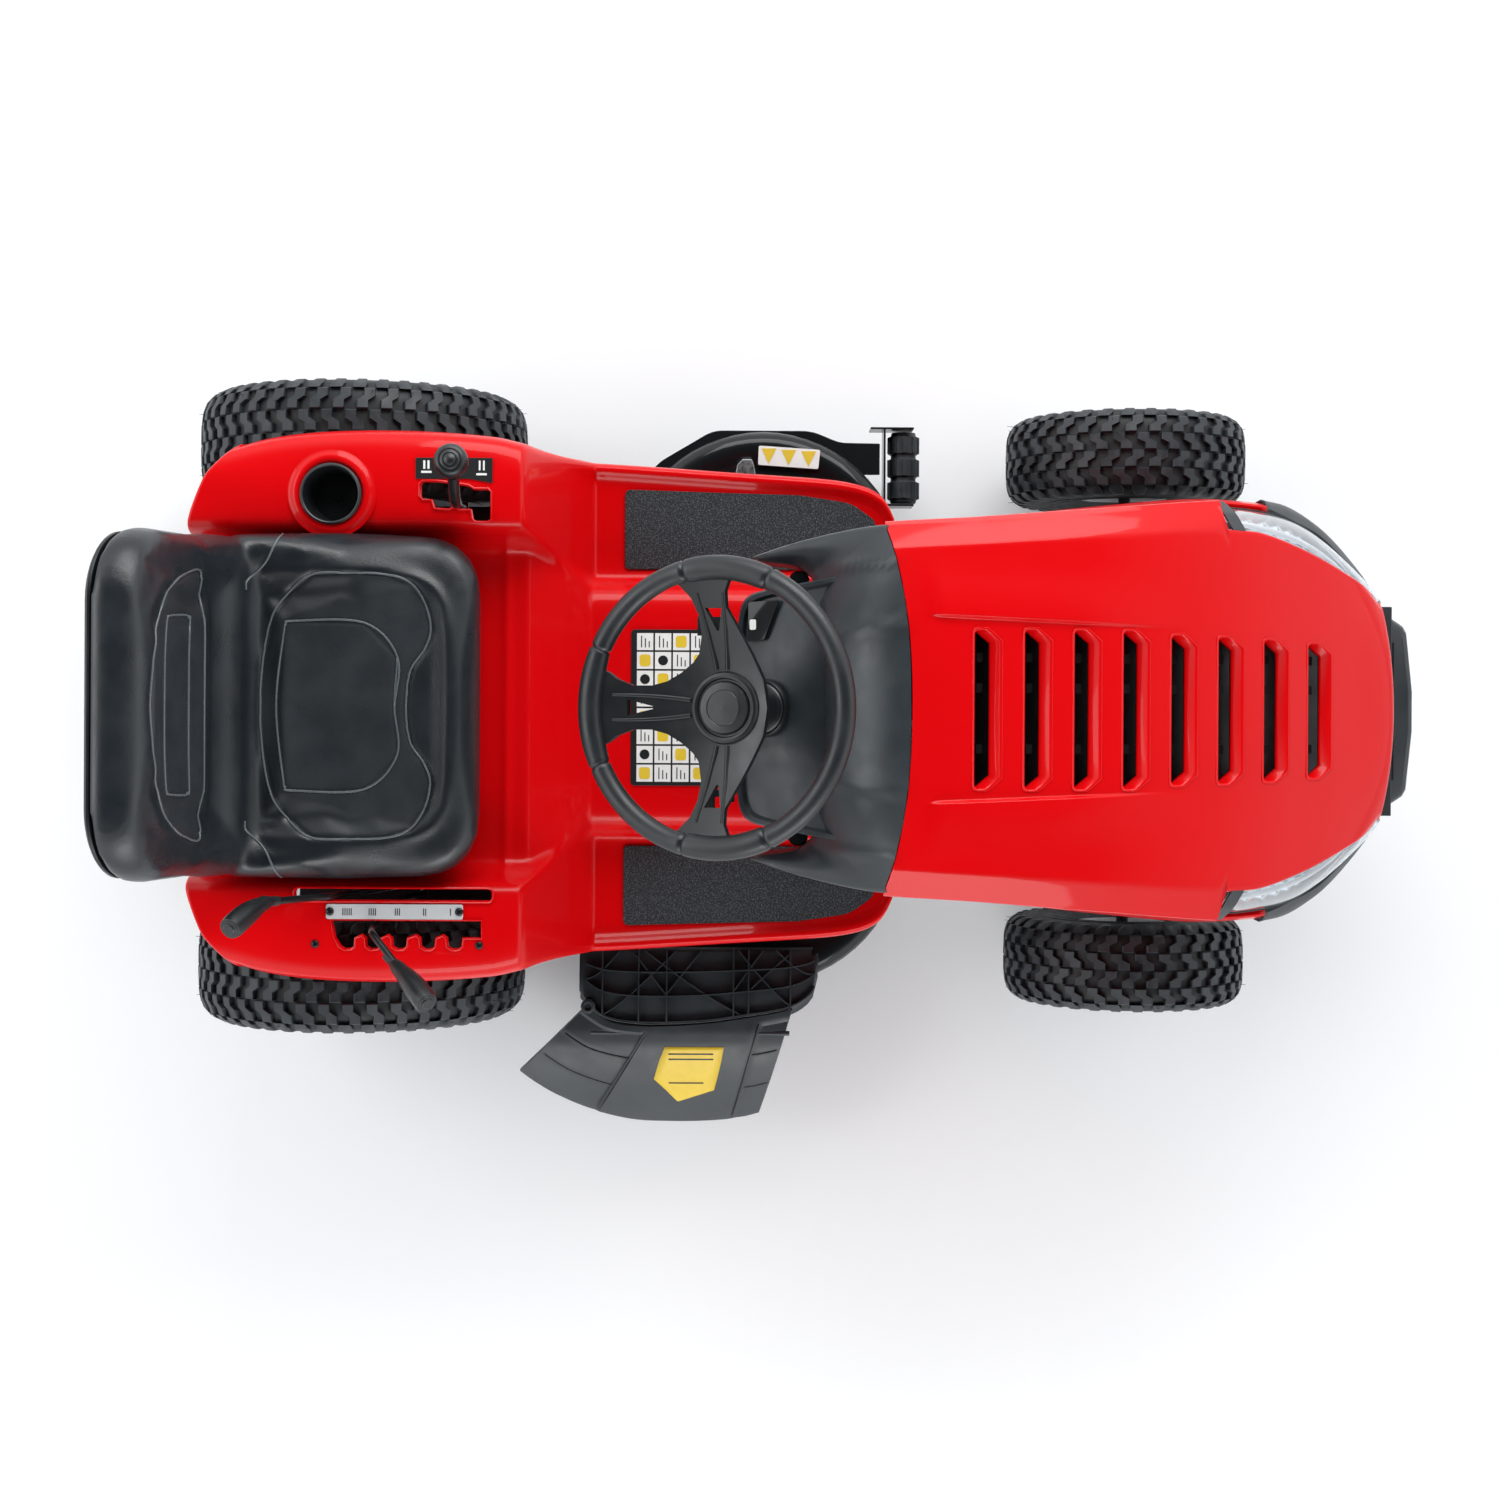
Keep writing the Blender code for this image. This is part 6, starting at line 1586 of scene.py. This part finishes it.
def deflector_height(x, y):
    """The deflector's height at a place, by walking v until the point's y fits."""
    v = 0.5
    for _ in range(12):
        inner = deflector_point(0.0, v)
        lip = deflector_point(1.0, v)
        share = (inner.x - x) / (inner.x - lip.x)
        here = deflector_point(share, v)
        v += (here.y - y) / 0.36
    return here.z


def deflector():
    """A hooded cover, its two side fields stepped down in three shelves, hinge bead and label."""
    rows = []
    skirts = []
    for v in shares(60):
        field = max(1 - ramp(v, 0.3, 0.312), ramp(v, 0.845, 0.857))
        row = []
        for share in shares(30):
            shelf = 0.003 + 0.0016 * math.floor(share * 2.999)
            row.append(deflector_point(share, v, -field * shelf * ramp(share, 0.06, 0.1)))
        lip = row[-1]
        row += [lip + Vector((-0.0015, 0, -0.002)), lip + Vector((-0.002, 0, -0.0085))]
        rows.append(row)
    for drop, out in ((0.0025, 0.001), (0.024, 0.002)):
        skirts.append([[p + Vector((0, side * out, -drop)) for p in edge]
                       for edge, side in ((rows[0], 1), (rows[-1], -1))])
    for rear_skirt, front_skirt in skirts:
        rows = [rear_skirt] + rows + [front_skirt]
    piece("deflector_cover", grid(rows), CHUTE, "deflector", smooth=25, wall=0.0026, bevel=0.0006,
          stands_for=("discharge_chute",))
    piece("deflector_bead", tube([(-0.5215, -0.082, 0.208), (-0.5215, 0.236, 0.208)], 0.004, 16), CHUTE,
          "deflector", smooth=60)
    # Thin dark tubes at the foot of each shelf step and along the fields' stepped edges: painted shade where
    # the steps drop.
    step_shade_lines = []
    for v in (0.306, 0.851):
        step_shade_lines.append(tube([deflector_point(0.08 + 0.9 * t, v, 0.0002) for t in shares(14)], 0.0014, 6))
    for low, high in ((0.015, 0.3), (0.857, 0.985)):
        for share, deep in ((0.36, 0.004), (0.68, 0.0056)):
            line = [deflector_point(share, low + (high - low) * t, -deep) for t in shares(12)]
            step_shade_lines.append(tube(line, 0.0016, 6))
    piece("deflector_step_shade", join(step_shade_lines), GRIP, "deflector", smooth=60)
    sticker("deflector_label", [(-0.544, 0.023, 0.118), (-0.568, 0.027, 0.127), (-0.6, 0.034, 0.136),
                                (-0.62, 0.039, 0.117), (-0.641, 0.096, 0.099)], 0.0008, YELLOW_FILM)
    for index, (x, low) in enumerate(((-0.555, 0.04), (-0.564, 0.04), (-0.606, 0.056))):
        sticker(f"deflector_mark_{index}", [(x, low, 0.112), (x - 0.002, low, 0.112)], 0.0014, BLACK_FILM)


def sticker(name, edges, lift, film):
    """A thin film on the deflector between (x, low y, high y) edges."""
    rows = []
    for (x0, low0, high0), (x1, low1, high1) in zip(edges, edges[1:]):
        for t in shares(4):
            x = x0 + (x1 - x0) * t
            low = low0 + (low1 - low0) * t
            high = high0 + (high1 - high0) * t
            places = [low + (high - low) * part for part in shares(8)]
            rows.append([(x, y, deflector_height(x, y) + lift) for y in places])
    piece(name, grid(rows), film, "deflector", smooth=60, wall=0.0006)


# ---- Stage, light and camera -------------------------------------------------------------------
CAMERA_HEIGHT = 3.55


def stage():
    """A pale floor, a soft overcast dome, two side lights and the camera straight above."""
    made, tree, shader, place = surface("floor_white", (0.9, 0.91, 0.92), 0.6)
    cloudy = spread(tree, noise_node(tree, place, 1.5))
    tint(tree, shader, cloudy, (0.925, 0.937, 0.945), (0.945, 0.952, 0.96))
    mesh = bpy.data.meshes.new("floor")
    reach = 40.0
    corners = [(-reach, -reach), (reach, -reach), (reach, reach), (-reach, reach)]
    mesh.from_pydata([(x, y, -0.0008) for x, y in corners], [], [(0, 1, 2, 3)])
    mesh.materials.append(made)
    placed("floor", mesh)

    world = bpy.data.worlds.new("studio")
    bpy.context.scene.world = world
    world.use_nodes = True
    tree = world.node_tree
    sky = tree.nodes["Background"]
    place = tree.nodes.new("ShaderNodeTexCoord").outputs["Generated"]
    split = tree.nodes.new("ShaderNodeSeparateXYZ")
    tree.links.new(place, split.inputs[0])
    bands = tree.nodes.new("ShaderNodeValToRGB")
    bands.color_ramp.elements[0].color = (0.95, 0.97, 1.0, 1.0)
    bands.color_ramp.elements[1].color = (0.015, 0.016, 0.018, 1.0)
    for place, grey in ((0.3, 1.0), (0.48, 1.1), (0.64, 0.6), (0.8, 0.05)):
        level = bands.color_ramp.elements.new(place)
        level.color = (grey, grey * 1.015, grey * 1.04, 1.0)
    tree.links.new(split.outputs["Z"], bands.inputs["Fac"])
    tree.links.new(bands.outputs["Color"], sky.inputs["Color"])
    sky.inputs["Strength"].default_value = 1.58

    lights = (("left_softbox", (2.6, -0.4, 2.3), (2.6, 1.6), 74.0),
              ("right_softbox", (-2.8, -0.2, 2.1), (2.4, 1.2), 38.0),
              ("rear_softbox", (0.5, 3.0, 2.4), (2.4, 1.2), 24.0))
    for name, spot, (wide, high), power in lights:
        data = bpy.data.lights.new(name, "AREA")
        data.shape = "RECTANGLE"
        data.size = wide
        data.size_y = high
        data.energy = power
        light = placed(name, data)
        light.location = spot
        aim = Vector((0.0, 0.0, 0.5)) - Vector(spot)
        light.rotation_euler = aim.to_track_quat("-Z", "Y").to_euler()

    data = bpy.data.cameras.new("camera")
    data.lens = 50.0
    data.sensor_width = 36.0
    data.shift_x = 0.00667
    data.shift_y = -0.028
    camera = placed("camera", data)
    camera.location = (ORIGIN.x, ORIGIN.y, CAMERA_HEIGHT)
    camera.rotation_euler = (0.0, 0.0, math.radians(-89.7))
    bpy.context.scene.camera = camera
    bpy.context.scene.view_settings.view_transform = "Standard"


# ---- The CAD nodes that stay: surface, bevel, nodes ------------------------------------------------
KEPT = (
    (FRAME_PAINT, 0.0015, ("left_frame_rail", "right_frame_rail", "front_axle_bracket", "steering_support",
                           "engine_plate", "rear_hitch_plate", "front_axle_beam", "left_knuckle",
                           "right_knuckle", "seat_pan")),
    (RIM_PAINT, 0.0012, ("rear_left_rim", "rear_right_rim", "front_left_rim", "front_right_rim")),
    (STEEL, 0.0006, ("left_drag_link", "right_drag_link", "left_blade", "right_blade")),
    (DARK_STEEL, 0.0008, ("steering_sector", "steering_shaft", "left_spindle", "right_spindle",
                          "transaxle_pulley", "crankshaft_pulley", "muffler")),
    (ALLOY, 0.002, ("engine_block", "transaxle_case")),
    (GRIP, 0.0012, ("battery", "flywheel_screen", "throttle_lever", "ignition_key")),
    (BLACK_PAINT, 0.0025, ("engine_shroud",)),
    (TANK, 0.006, ("fuel_tank",)),
)


def clothe():
    """Every node that keeps its own shape gets its surface and rounded edges."""
    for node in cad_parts:
        dress(node, FRAME_PAINT)
    for kept_surface, bevel, nodes in KEPT:
        for node in nodes:
            dress(node, kept_surface, bevel)


clothe()
tyres()
hood()
headlights()
bezel()
bumper()
body_pan()
trim()
dash()
steering_wheel()
seat()
levers()
deck()
chute()
stage()
